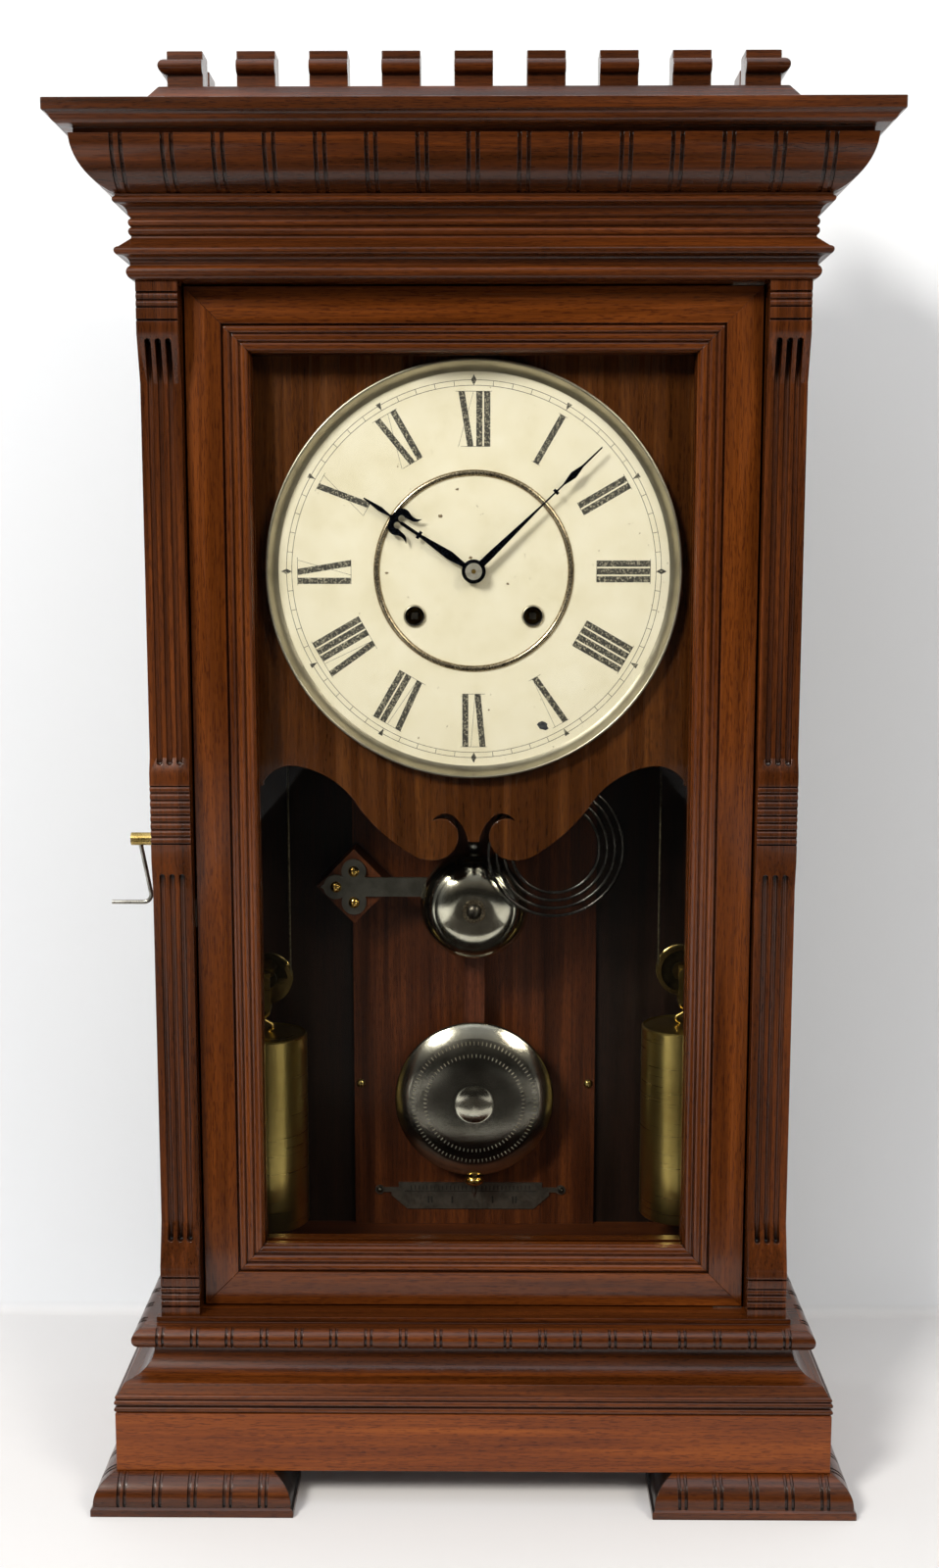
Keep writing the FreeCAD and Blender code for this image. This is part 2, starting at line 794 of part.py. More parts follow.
# Depth and height steps of a pilaster's front, from the base board up
def pillar_steps():
    foot_top = opening_z + pillar_foot_block
    steps = sized(foot_block_shares, 0, pillar_relief, opening_z, pillar_foot_block)
    steps.append((0, foot_top + pillar_foot_ramp))
    low = opening_z + pillar_mid_low
    steps.append((0, low - pillar_mid_ramp * 2))
    steps.append((pillar_mid_relief, low))
    reed_from = low + pillar_mid_high * reed_shares[0]
    reed_high = pillar_mid_high * (reed_shares[1] - reed_shares[0]) / reed_count
    steps.append((pillar_mid_relief, reed_from))
    groove = pillar_mid_relief / 2
    steps.append((groove, reed_from))
    for index in range(reed_count):
        z = reed_from + index * reed_high
        steps.append((pillar_mid_relief, z + reed_high / 2, groove, z + reed_high))
    steps.append((pillar_mid_relief, reed_from + reed_count * reed_high))
    steps.append((pillar_mid_relief, low + pillar_mid_high))
    steps.append((0, low + pillar_mid_high + pillar_mid_ramp))
    head_low = neck_z - pillar_head_block
    steps.append((0, head_low - pillar_head_ramp))
    steps += sized(head_shares, 0, pillar_relief, head_low, pillar_head_block)
    return steps


def flute_cutter(x, low, high):
    shaft_y = pillar_front + pillar_relief
    r = flute_wide / 2
    axis_y = shaft_y + flute_deep - r
    z0 = low + r
    z1 = high - r
    bar_up = Part.makeCylinder(r, z1 - z0, Vector(x, axis_y, z0))
    ends = [Part.makeSphere(r, Vector(x, axis_y, z)) for z in (z0, z1)]
    deep = pillar_relief + overrun
    slot = [(x - r, z0), (x, low, x + r, z0), (x + r, z1), (x, high, x - r, z1)]
    slot = face(slot, in_xz(axis_y - deep)).extrude(Vector(0, deep, 0))
    return bar_up.fuse(ends + [slot])


def pilasters():
    shaft_y = pillar_front + pillar_relief
    back = side_front
    steps = pillar_steps()
    profile = [(back, steps[0][1])] + [
        tuple(shaft_y - value if i % 2 == 0 else value for i, value in enumerate(step)) for step in steps
    ] + [(back, steps[-1][1])]
    pillar = face(profile, in_yz(pillar_inner)).extrude(Vector(pillar_wide, 0, 0))
    low = opening_z + pillar_mid_low
    spans = [
        (opening_z + pillar_foot_block + pillar_foot_ramp - flute_run, low - pillar_mid_ramp),
        (low + pillar_mid_high + pillar_mid_ramp / 2, neck_z - pillar_head_block - pillar_head_ramp + flute_run * 2),
    ]
    middle = pillar_inner + pillar_wide / 2
    places = [middle + (index - (flute_count - 1) / 2) * flute_pitch for index in range(flute_count)]
    for x in places:
        for span in spans:
            pillar = pillar.cut(flute_cutter(x, *span))
    save("pilasters", [pillar, mirrored(pillar)])


# The pivot's place, at the door's front right-hand edge
def pivot_place():
    return door_half - pivot_in, door_front + pivot_in


def door():
    reeding = sized(reeding_shares, door_flat, door_member - door_flat, door_front, door_step)
    rebate_u = door_member - rebate_wide
    steps = [(0, door_back), (0, door_front)] + reeding + [
        (door_member, glass_front), (rebate_u, glass_front), (rebate_u, door_back),
    ]
    low, high, half = door_z, door_top, door_half
    inner = door_member + overrun
    stile = face(steps, lambda u, y: Vector(half - u, y, low)).extrude(Vector(0, 0, high - low))
    stile_plan = [(half, low), (half, high), (half - inner, high - inner), (half - inner, low + inner)]
    deep = Vector(0, door_thick, 0)
    stile = stile.common(face(stile_plan, in_xz(door_front)).extrude(deep))
    rail_plan = [(half, high), (-half, high), (-half + inner, high - inner), (half - inner, high - inner)]
    head = face(steps, lambda u, y: Vector(-half, y, high - u)).extrude(Vector(2 * half, 0, 0))
    head = head.common(face(rail_plan, in_xz(door_front)).extrude(deep))
    sill = head.mirror(Vector(0, 0, (low + high) / 2), Vector(0, 0, 1))
    x, y = pivot_place()
    hole_long = pivot_long + overrun
    holes = [
        Part.makeCylinder(pivot_r + fit, hole_long, Vector(x, y, low - tiny)),
        Part.makeCylinder(pivot_r + fit, hole_long, Vector(x, y, high - hole_long + tiny)),
    ]
    members = [piece.cut(Part.makeCompound(holes)) for piece in (stile, head, sill)]
    bead_front = glass_front + glass_thick
    bead_half = half - rebate_u
    bead_low = low + rebate_u
    bead_high = high - rebate_u
    upright = box(bead_half - bead_thick, bead_half, bead_front, door_back, bead_low, bead_high)
    reach = bead_half - bead_thick
    across = box(-reach, reach, bead_front, door_back, bead_low, bead_low + bead_thick)
    lift = bead_high - bead_low - bead_thick
    beads = [upright, mirrored(upright), across, across.translated(Vector(0, 0, lift))]
    save("door_frame", [members[0], mirrored(stile), members[1], members[2]] + beads)
    glass = box(-bead_half + fit, bead_half - fit, glass_front, bead_front, bead_low + fit, bead_high - fit)
    save("door_glass", glass)


def pivot_hinges():
    x, y = pivot_place()
    reach = pivot_plate_wide
    pieces = []
    high = neck_z - pivot_plate_thick
    for plate_z, pin_z in ((opening_z, opening_z), (high, high - pivot_long)):
        plate = box(x - reach, x + pivot_in, y - pivot_in, y + reach, plate_z, plate_z + pivot_plate_thick)
        pin = Part.makeCylinder(pivot_r, pivot_long + pivot_plate_thick, Vector(x, y, pin_z))
        pieces.append(joined([plate, pin]))
    save("pivot_hinges", pieces)


# The spring catch in the gap at the door's left edge, and the peg that the crank hangs on
def case_fittings():
    x = -side_inner
    low = catch_z - catch_high / 2
    leaf = box(x, x + catch_thick, catch_from, catch_to, low, low + catch_high)
    bump_at = Vector(x + catch_thick, catch_from / 2, low + catch_high / 4)
    bump = Part.makeCylinder(catch_bump, catch_high / 2, bump_at)
    plate = Part.makeCylinder(peg_plate_r, peg_plate_thick, Vector(-side_half, crank_y, crank_z), Vector(-1, 0, 0))
    peg = Part.makeCylinder(peg_r, peg_long, Vector(-side_half, crank_y, crank_z), Vector(-1, 0, 0))
    save("case_fittings", [joined([leaf, bump]), joined([plate, peg])])


def dial_panel():
    side = [(side_inner - fit, neck_z - panel_top_gap)]
    steps = sized(panel_shares, 0, side_inner - fit, dial_z, -panel_drop)
    half = steps + side + [(0, neck_z - panel_top_gap), (0, steps[0][1])]
    board = face(half, in_xz(panel_front)).extrude(Vector(0, panel_thick, 0))
    panel = joined([board, mirrored(board)])
    save("dial_panel", panel.cut(bar(0, dial_z, panel_hole, panel_front - overrun, panel_back + overrun)))


def winding_place(side):
    return side * winding_x, -winding_drop


def dial():
    plate = bar(0, dial_z, dial_r, dial_front, panel_front)
    holes = [bar(0, dial_z, dial_hole, dial_front - overrun, panel_front + overrun)]
    for side in (left, right):
        x, z = winding_place(side)
        holes.append(bar(x, dial_z + z, eyelet_hole + fit, dial_front - overrun, panel_front + overrun))
    save("dial_plate", plate.cut(Part.makeCompound(holes)))
    steps = sized(bezel_shares, bezel_r, -bezel_wide, dial_front, -bezel_high)
    rings = [turned(steps, 0, dial_z)]
    inner = centre_ring_r - centre_ring_wide
    middle = (centre_ring_r + inner) / 2
    ring = [(centre_ring_r, dial_front), (middle, dial_front - centre_ring_high, inner, dial_front)]
    rings.append(turned(ring, 0, dial_z))
    for side in (left, right):
        x, z = winding_place(side)
        middle = (eyelet_r + eyelet_hole) / 2
        eyelet = [(eyelet_r, dial_front), (middle, dial_front - eyelet_high, eyelet_hole, dial_front)]
        rings.append(turned(eyelet, x, dial_z + z))
    save("dial_bezel", rings)


# A hand cut from sheet, from the share list of its right-hand edge
def hand(shares, long, hub, hole, front, turn):
    steps = sized(shares, 0, long, 0, long)
    edge = [tuple(value for pair in zip(step[1::2], step[0::2]) for value in pair) for step in steps]
    half = face([(0, 0)] + edge + [(0, long)], lambda u, v: Vector(u, front, dial_z + v))
    blade = half.extrude(Vector(0, hand_thick, 0))
    whole = joined([blade, mirrored(blade), bar(0, dial_z, hub, front, front + hand_thick)])
    whole = whole.cut(bar(0, dial_z, hole, front - overrun, front + hand_thick + overrun))
    return spun(whole, 0, dial_z, turn)


# Radii of the nested pipes at the middle of the dial, from the inside out
def pipe_radii():
    cannon_hole = arbor_r + fit
    cannon_outer = cannon_hole + arbor_r
    hour_hole = cannon_outer + fit
    return cannon_hole, cannon_outer, hour_hole, hour_hole + arbor_r


def pitch_radius(teeth, module):
    return teeth * module / 2


def spacing(teeth, other, module):
    return pitch_radius(teeth + other, module)


# A point at a given distance and direction, in degrees from +X towards +Z
def beyond(start, distance, degrees):
    angle = math.radians(degrees)
    return start[0] + distance * math.cos(angle), start[1] + distance * math.sin(angle)


# The point that lies at two given distances from two others, on the right-hand side going up
def meeting(first, first_distance, second, second_distance):
    across = math.dist(first, second)
    along = (first_distance ** 2 - second_distance ** 2 + across ** 2) / (2 * across)
    off = math.sqrt(first_distance ** 2 - along ** 2)
    ux = (second[0] - first[0]) / across
    uz = (second[1] - first[1]) / across
    return first[0] + along * ux + off * uz, first[1] + along * uz - off * ux


def direction(start, end):
    return math.degrees(math.atan2(end[1] - start[1], end[0] - start[0]))


# The flat outline of a toothed wheel, with the middle of a tooth or of a gap in direction aim
def gear_wire(at, teeth, module, aim, gap_first, y):
    pitch = 360 / teeth
    start = aim + (pitch / 2 if gap_first else 0)
    tip_r = pitch_radius(teeth, module) + addendum_share * module
    root_r = pitch_radius(teeth, module) - dedendum_share * module
    points = []
    for index in range(teeth):
        middle = start + index * pitch
        for radius, offset in ((root_r, -tooth_root_share), (tip_r, -tooth_tip_share),
                               (tip_r, tooth_tip_share), (root_r, tooth_root_share)):
            points.append(beyond(at, radius, middle + offset * pitch / 2))
    return outline([(x, dial_z + z) for x, z in points], in_xz(y)), root_r


def pinion(at, teeth, module, aim, y0, y1):
    wire, root_r = gear_wire(at, teeth, module, aim, True, y0)
    return Part.Face(wire).extrude(Vector(0, y1 - y0, 0))


# A wheel with its crossings sawn out
def toothed_wheel(at, teeth, module, aim, y, hole=0):
    wire, root_r = gear_wire(at, teeth, module, aim, False, y)
    wires = [wire]
    rim = root_r - rim_wide
    for index in range(wheel_arms):
        middle = aim + (index + 0.5) * 360 / wheel_arms
        spread = []
        for radius in (rim, wheel_hub):
            spread.append(180 / wheel_arms - math.degrees(math.asin(arm_wide / 2 / radius)))
        outer = [beyond(at, rim, middle + turn) for turn in (-spread[0], 0, spread[0])]
        inner = [beyond(at, wheel_hub, middle + turn) for turn in (spread[1], 0, -spread[1])]
        steps = [outer[0], outer[1] + outer[2], inner[0], inner[1] + inner[2]]
        steps = [tuple(value + dial_z if i % 2 else value for i, value in enumerate(step)) for step in steps]
        wires.append(outline(steps, in_xz(y)))
    if hole:
        wires.append(Part.Wire(Part.makeCircle(hole, Vector(at[0], y, dial_z + at[1]), Vector(0, 1, 0))))
    return Part.Face(wires, "Part::FaceMakerBullseye").extrude(Vector(0, wheel_thick, 0))


# A plain arbor between the plates, with a pivot in each
def arbor(at):
    x, z = at[0], dial_z + at[1]
    body = bar(x, z, arbor_r, plates_from + shake, plates_to - shake)
    pivots = bar(x, z, pivot_small, plate_front, plates_end)
    return body.fuse(pivots)


# Every arbor of the clockwork, by name, measured from the middle of the dial
def arbor_places():
    places = {"centre": (0, 0), "escape": (0, escape_rise), "verge": (0, verge_rise)}
    places["time_great"] = winding_place(right)
    places["strike_great"] = winding_place(left)
    places["second"] = meeting(places["time_great"], spacing(great_teeth, great_pinion, coarse),
                               (0, 0), spacing(second_teeth, centre_pinion, fine))
    places["third"] = meeting((0, 0), spacing(centre_teeth, third_pinion, fine),
                              places["escape"], spacing(third_teeth, escape_pinion, fine))
    first, second, third, fourth = strike_angles
    steps = (
        ("strike_second", "strike_great", spacing(great_teeth, great_pinion, coarse), first),
        ("pin", "strike_second", spacing(strike_second_teeth, pin_pinion, fine), second),
        ("warning", "pin", spacing(pin_teeth, warning_pinion, fine), third),
        ("fly", "warning", spacing(warning_teeth, fly_pinion, fine), fourth),
    )
    for name, start, distance, angle in steps:
        places[name] = beyond(places[start], distance, angle)
    places["minute_wheel"] = (0, -spacing(cannon_teeth, minute_teeth, fine))
    places["gong_hammer"] = gong_hammer_at
    places["bell_hammer"] = bell_hammer_at
    return places


# A wheel, its pinion and their arbor: the wheel aims at what it drives, the pinion at what drives it
def wheel_on_arbor(name, teeth, module, y, drives, small, small_module, small_y, driven_by, extra=()):
    places = arbor_places()
    at = places[name]
    wheel = toothed_wheel(at, teeth, module, direction(at, places[drives]), y)
    aim = direction(at, places[driven_by])
    leaves = pinion(at, small, small_module, aim, small_y, small_y + pinion_long)
    save(name + "_wheel", joined([wheel, leaves, arbor(at)] + list(extra)))


def mesh_y(offset):
    return plates_from + offset


# Where a pinion starts so that its middle lies on the wheel that it meets
def pinion_y(offset):
    return mesh_y(offset) + (wheel_thick - pinion_long) / 2


def great_wheel(name, side, meets):
    places = arbor_places()
    at = winding_place(side)
    hole = arbor_r * 2 + fit
    save(name, toothed_wheel(at, great_teeth, coarse, direction(at, places[meets]), mesh_y(great_at), hole))


def going_train():
    places = arbor_places()
    great_wheel("time_great_wheel", right, "second")
    wheel_on_arbor("second", second_teeth, fine, mesh_y(second_at), "centre",
                   great_pinion, coarse, pinion_y(great_at), "time_great")
    tip = bar(0, dial_z, arbor_r, minute_hand_front - hand_nut_thick, plates_from + shake)
    wheel_on_arbor("centre", centre_teeth, fine, mesh_y(centre_at), "third",
                   centre_pinion, fine, pinion_y(second_at), "second", [tip])
    wheel_on_arbor("third", third_teeth, fine, mesh_y(third_at), "escape",
                   third_pinion, fine, pinion_y(centre_at), "centre")
    at = places["escape"]
    points = []
    for index in range(escape_teeth):
        turn = 90 + (index + 0.5) * 360 / escape_teeth
        points.append(beyond(at, escape_r - rim_wide, turn))
        points.append(beyond(at, escape_r, turn + 180 / escape_teeth))
    rim = Part.Face(outline([(x, dial_z + z) for x, z in points], in_xz(mesh_y(escape_at))))
    wheel = rim.extrude(Vector(0, wheel_thick, 0))
    inside = escape_r - 2 * rim_wide
    y = mesh_y(escape_at)
    window = tube(at[0], dial_z + at[1], inside, wheel_hub, y - overrun, y + 2 * wheel_thick)
    arms = box(at[0] - escape_r, at[0] + escape_r, mesh_y(escape_at), mesh_y(escape_at) + wheel_thick,
               dial_z + at[1] - arm_wide / 2, dial_z + at[1] + arm_wide / 2)
    cross = spun(arms, at[0], dial_z + at[1], 90)
    wheel = wheel.cut(window.cut(arms.fuse(cross)))
    aim = direction(at, places["third"])
    leaves = pinion(at, escape_pinion, fine, aim, pinion_y(third_at), pinion_y(third_at) + pinion_long)
    save("escape_wheel", joined([wheel, leaves, arbor(at)]))


def strike_train():
    great_wheel("strike_great_wheel", left, "strike_second")
    wheel_on_arbor("strike_second", strike_second_teeth, fine, mesh_y(strike_second_at), "pin",
                   great_pinion, coarse, pinion_y(great_at), "strike_great")
    places = arbor_places()
    at = places["pin"]
    pins = []
    for index in range(pin_count):
        x, z = beyond(at, pitch_radius(pin_teeth, fine) - rim_wide, index * 360 / pin_count)
        pins.append(bar(x, dial_z + z, pivot_small, mesh_y(pin_at), mesh_y(pin_at) + pinion_long))
    wheel_on_arbor("pin", pin_teeth, fine, mesh_y(pin_at), "warning",
                   pin_pinion, fine, pinion_y(strike_second_at), "strike_second", pins)
    wheel_on_arbor("warning", warning_teeth, fine, mesh_y(warning_at), "fly",
                   warning_pinion, fine, pinion_y(pin_at), "pin")
    at = places["fly"]
    leaves = pinion(at, fly_pinion, fine, direction(at, places["warning"]), pinion_y(warning_at),
                    pinion_y(warning_at) + pinion_long)
    z = dial_z + at[1]
    y = mesh_y(fly_at)
    vane = box(at[0] - fly_half, at[0] + fly_half, y, y + fly_long, z - fly_thick, z + fly_thick)
    save("fly", joined([leaves, vane, arbor(at)]))


def motion_work():
    cannon_hole, cannon_outer, hour_hole, hour_outer = pipe_radii()
    places = arbor_places()
    y = cannon_back
    minute_at = places["minute_wheel"]
    aim = direction((0, 0), minute_at)
    leaves = pinion((0, 0), cannon_teeth, fine, aim, y - pinion_long, y)
    front = minute_hand_front
    sleeve = bar(0, dial_z, cannon_outer, front, y)
    cannon = joined([leaves, sleeve]).cut(bar(0, dial_z, cannon_hole, front - overrun, y + overrun))
    nut = tube(0, dial_z, hand_nut_r, cannon_hole, front - hand_nut_thick, front)
    save("cannon_pinion", [cannon, nut])
    minute_y = y - (pinion_long + wheel_thick) / 2
    wheel = toothed_wheel(minute_at, minute_teeth, fine, direction(minute_at, (0, 0)), minute_y)
    # the cannon's gap is aimed at this wheel, whose tooth is aimed back
    hour_y = minute_y - motion_gap
    small = pinion(minute_at, minute_pinion, fine, direction(minute_at, (0, 0)),
                   hour_y - (pinion_long - wheel_thick) / 2, minute_y)
    stud = bar(minute_at[0], dial_z + minute_at[1], arbor_r, hour_y - overrun, plates_from - overrun)
    bore = bar(minute_at[0], dial_z + minute_at[1], arbor_r + fit, hour_y - 2 * overrun, plate_front + overrun)
    save("minute_wheel", joined([wheel, small]).cut(bore))
    wheel = toothed_wheel((0, 0), hour_teeth, fine, direction((0, 0), minute_at), hour_y)
    sleeve = bar(0, dial_z, hour_outer, hour_hand_front, hour_y + wheel_thick)
    pipe = joined([wheel, sleeve]).cut(bar(0, dial_z, hour_hole, hour_hand_front - overrun, plate_front))
    save("hour_wheel", pipe)
    save("hour_hand", hand(hour_hand_shares, hour_hand_long, hour_hub, hour_outer, hour_hand_front, hour_turn))
    save("minute_hand", hand(minute_hand_shares, minute_hand_long, minute_hub, cannon_outer, minute_hand_front,
                             minute_turn))
    return stud


def drum(name, side):
    x, z = winding_place(side)
    z += dial_z
    shaft = arbor_r * 2
    barrel = bar(x, z, drum_r, mesh_y(drum_from), mesh_y(drum_from) + drum_long)
    shaft_bar = bar(x, z, shaft, plates_from + shake, plates_to - shake)
    pivots = bar(x, z, shaft - pivot_small, dial_front + overrun, plates_end)
    half = winding_square / 2
    square = box(x - half, x + half, winding_square_front, dial_front + overrun, z - half, z + half)
    points = []
    for index in range(ratchet_teeth):
        turn = index * 360 / ratchet_teeth
        points.append(beyond((x, z), ratchet_r, turn))
        points.append(beyond((x, z), ratchet_r - ratchet_thick, turn + 180 / ratchet_teeth))
    y = mesh_y(great_at) + wheel_thick + shake
    ratchet = Part.Face(outline(points, in_xz(y))).extrude(Vector(0, ratchet_thick, 0))
    save(name, joined([barrel, shaft_bar, pivots, square, ratchet]))


# Pallets that clear the escape wheel at both ends of the swing, their arbor and the crutch
def verge():
    z = dial_z + verge_rise
    wheel_z = dial_z + escape_rise
    tip_r = escape_r + verge_clear
    y = mesh_y(escape_at) - (verge_thick - wheel_thick) / 2
    angle = math.radians(verge_span)
    tip = (tip_r * math.sin(angle), wheel_z + tip_r * math.cos(angle))
    outer = (tip[0] + verge_arm, tip[1] + verge_arm)
    arm = [(0, z - verge_arm), tip, outer, (0, z + verge_arm)]
    half = face(arm, in_xz(y)).extrude(Vector(0, verge_thick, 0))
    rear = crutch_y + crutch_thick
    shaft = bar(0, z, arbor_r, plates_from + shake, rear)
    pivots = bar(0, z, pivot_small, plate_front, plates_to)
    low = z - crutch_long
    half_wide = crutch_wide / 2
    crutch = box(-half_wide, half_wide, crutch_y, rear, low, z + half_wide)
    inner = rod_half + slack
    bridge = box(-inner - prong, inner + prong, crutch_y, rear, low - crutch_wide, low)
    prong_end = rod_y + rod_thick
    fork = box(inner, inner + prong, crutch_y, prong_end, low - crutch_wide, low)
    save("verge", joined([half, mirrored(half), shaft, pivots, crutch, bridge, fork, mirrored(fork)]))


def pendulum():
    z = dial_z + verge_rise
    y = suspension_y
    eye = tube(0, z, suspension_eye, suspension_pin + fit, y, y + suspension_wide)
    half = suspension_thick / 2
    strip = box(-half, half, y, y + suspension_wide - fit, rod_top, z - (suspension_eye + suspension_pin) / 2)
    spring = joined([eye, strip])
    bob_low = bob_z - bob_r
    rod = box(-rod_half, rod_half, rod_y, rod_y + rod_thick, bob_low + bob_edge, rod_top)
    slot = box(-half, half, y, y + suspension_wide, rod_top, rod_top + overrun)
    tail_y = rod_y + rod_thick / 2
    tail_z = bob_low + bob_edge
    tail = Part.makeCylinder(tail_r, rod_tail, Vector(0, tail_y, tail_z - rod_tail))
    point = Part.makeCone(tail_r, 0, tail_point, Vector(0, tail_y, tail_z - rod_tail), Vector(0, 0, -1))
    save("pendulum_rod", [spring, rod.cut(slot), joined([tail, point])])
    front = rod_y - bob_thick
    steps = sized(bob_shares, 0, bob_r, rod_y, -bob_thick)
    boss = [(bob_boss_r, front), dome(bob_boss_r, front, -bob_boss_high)]
    save("pendulum_bob", turned([(0, rod_y)] + steps + boss, 0, bob_z))
    nut_top = bob_low - nut_below
    middle = nut_top - nut_high / 2
    end_r = nut_r * nut_end_share
    rim = [(tail_r + fit, nut_top - nut_high), (end_r, nut_top - nut_high), (nut_r, middle, end_r, nut_top),
           (tail_r + fit, nut_top)]
    profile = face(rim, lambda r, v: Vector(r, tail_y, v))
    save("rating_nut", profile.revolve(Vector(0, tail_y, 0), Vector(0, 0, 1), 360))


# Plates drilled for every pivot, and the cock that carries the pendulum
def movement(stud):
    places = arbor_places()
    low = dial_z - plate_down
    high = dial_z + plate_up
    front = box(-plate_half, plate_half, plate_front, plates_from, low, high)
    back = box(-plate_half, plate_half, plates_to, plates_end, low, high)
    y0 = plate_front - overrun
    y1 = plates_end + overrun
    apart = ("centre", "verge", "minute_wheel", "time_great", "strike_great")
    plain = [name for name in places if name not in apart]
    small = [bar(places[n][0], dial_z + places[n][1], pivot_small + fit, y0, y1) for n in plain]
    wide = 2 * arbor_r - pivot_small + fit
    small += [bar(places[n][0], dial_z + places[n][1], wide, y0, y1) for n in ("time_great", "strike_great")]
    corners = [(side * x, z) for x, z in (pillar_low, pillar_high) for side in (left, right)]
    small += [bar(x, dial_z + z, pillar_stud + fit, y0, y1) for x, z in corners]
    verge_z = dial_z + verge_rise
    front_holes = small + [bar(0, dial_z, arbor_r + fit, y0, plates_from + overrun),
                           bar(0, verge_z, pivot_small + fit, y0, plates_from + overrun)]
    back_holes = small + [bar(0, dial_z, pivot_small + fit, plates_to - overrun, y1),
                          bar(0, verge_z, arbor_r + fit, plates_to - overrun, y1)]
    front = front.cut(Part.makeCompound(front_holes)).fuse(stud)
    back = back.cut(Part.makeCompound(back_holes))
    arm_low = verge_z + cock_rise
    arm = box(-cock_half, cock_half, plates_end, cock_y, arm_low, arm_low + cock_thick)
    leg = box(-cock_half, cock_half, cock_y - cock_thick, cock_y, verge_z - cock_drop, arm_low)
    pin = bar(0, verge_z, suspension_pin, suspension_y, cock_y - cock_thick)
    save("movement_plates", [front, back, joined([arm, leg, pin])])
    pillars = []
    for x, z in corners:
        z += dial_z
        rod = bar(x, z, pillar_rod, plates_from, plates_to)
        stud_bar = bar(x, z, pillar_stud, plate_front - pillar_nut_thick, plates_end + overrun)
        nut = bar(x, z, pillar_nut, plate_front - pillar_nut_thick, plate_front)
        post = bar(x, z, post_r, plates_end, centre_board_y)
        pillars.append(joined([rod, stud_bar, nut, post]))
    save("movement_pillars", pillars)


def pulley(x, z):
    groove = cable_reach - cable_r - fit
    y = weight_y
    half = pulley_half
    steps = [
        (axle_r + fit, y - half), (pulley_hub, y - half), (pulley_hub, y - half / 2), (groove - cable_r, y - half / 2),
        (groove - cable_r, y - half), (pulley_r, y - half), (groove, y, pulley_r, y + half),
        (groove - cable_r, y + half), (groove - cable_r, y + half / 2), (pulley_hub, y + half / 2),
        (pulley_hub, y + half), (axle_r + fit, y + half),
    ]
    return turned(steps, x, z)


def weight(name, side, low):
    x = side * weight_x
    top = low + weight_high
    rim = weight_r - weight_rim
    steps = [
        (0, low), (rim, low), (weight_r, low + weight_rim), (weight_r, top - weight_rim), (rim, top),
        (rim - weight_rim, top - weight_rim), dome(rim - weight_rim, top - weight_rim, weight_dome),
    ]
    profile = face(steps, lambda r, v: Vector(x + r, weight_y, v))
    canister = profile.revolve(Vector(x, weight_y, 0), Vector(0, 0, 1), 360)
    centre_z = top + pulley_rise
    gap = pulley_half + shake
    cheeks = []
    for y in (weight_y - gap - cheek_thick, weight_y + gap):
        cheeks.append(box(x - cheek_wide / 2, x + cheek_wide / 2, y, y + cheek_thick,
                          centre_z - cheek_down - bridge_high, centre_z + cheek_up))
    bridge = box(x - cheek_wide / 2, x + cheek_wide / 2, weight_y - gap, weight_y + gap,
                 centre_z - cheek_down - bridge_high, centre_z - cheek_down)
    axle = bar(x, centre_z, axle_r, weight_y - gap - 2 * cheek_thick, weight_y + gap + 2 * cheek_thick)
    frame = joined(cheeks + [bridge, axle])
    hook_top = centre_z - cheek_down - bridge_high
    hook_low = top - weight_rim
    path = sized(hook_shares, x, side * hook_bow, hook_low, hook_top - hook_low)
    hook = bent_wire([Vector(u, weight_y, v) for u, v in path], hook_wire, hook_round)
    save(name, [canister, frame, hook.cut(canister)])


# The two falls of a cable and the bight round the weight's pulley
def cable(name, side, centre_z):
    x0 = side * (weight_x - cable_reach)
    x1 = side * (weight_x + cable_reach)
    y = weight_y
    edges = [
        Part.makeLine(Vector(x0, y, cable_top), Vector(x0, y, centre_z)),
        Part.Arc(Vector(x0, y, centre_z), Vector(side * weight_x, y, centre_z - cable_reach),
                 Vector(x1, y, centre_z)).toShape(),
        Part.makeLine(Vector(x1, y, centre_z), Vector(x1, y, cable_top)),
    ]
    save(name, swept(edges, cable_r))


def top_pulley_x():
    return weight_x - 2 * cable_reach


# The lead from a drum to its top pulley, over it and down to where the fall begins
def cable_lead():
    px = top_pulley_x()
    dx, dz = winding_place(right)
    dz += dial_z
    drum_reach = drum_r + cable_r + fit
    across = math.dist((px, cable_top), (dx, dz))
    aim = direction((dx, dz), (px, cable_top))
    lean = math.degrees(math.asin((drum_reach + cable_reach) / across))
    out = aim + lean - 90
    start = beyond((dx, dz), drum_reach, out)
    touch = beyond((px, cable_top), -cable_reach, out)
    over = beyond((px, cable_top), cable_reach, (out + 180) / 2)
    y = weight_y
    edges = [
        Part.makeLine(Vector(start[0], y, start[1]), Vector(touch[0], y, touch[1])),
        Part.Arc(Vector(touch[0], y, touch[1]), Vector(over[0], y, over[1]),
                 Vector(px + cable_reach, y, cable_top)).toShape(),
    ]
    return swept(edges, cable_r)


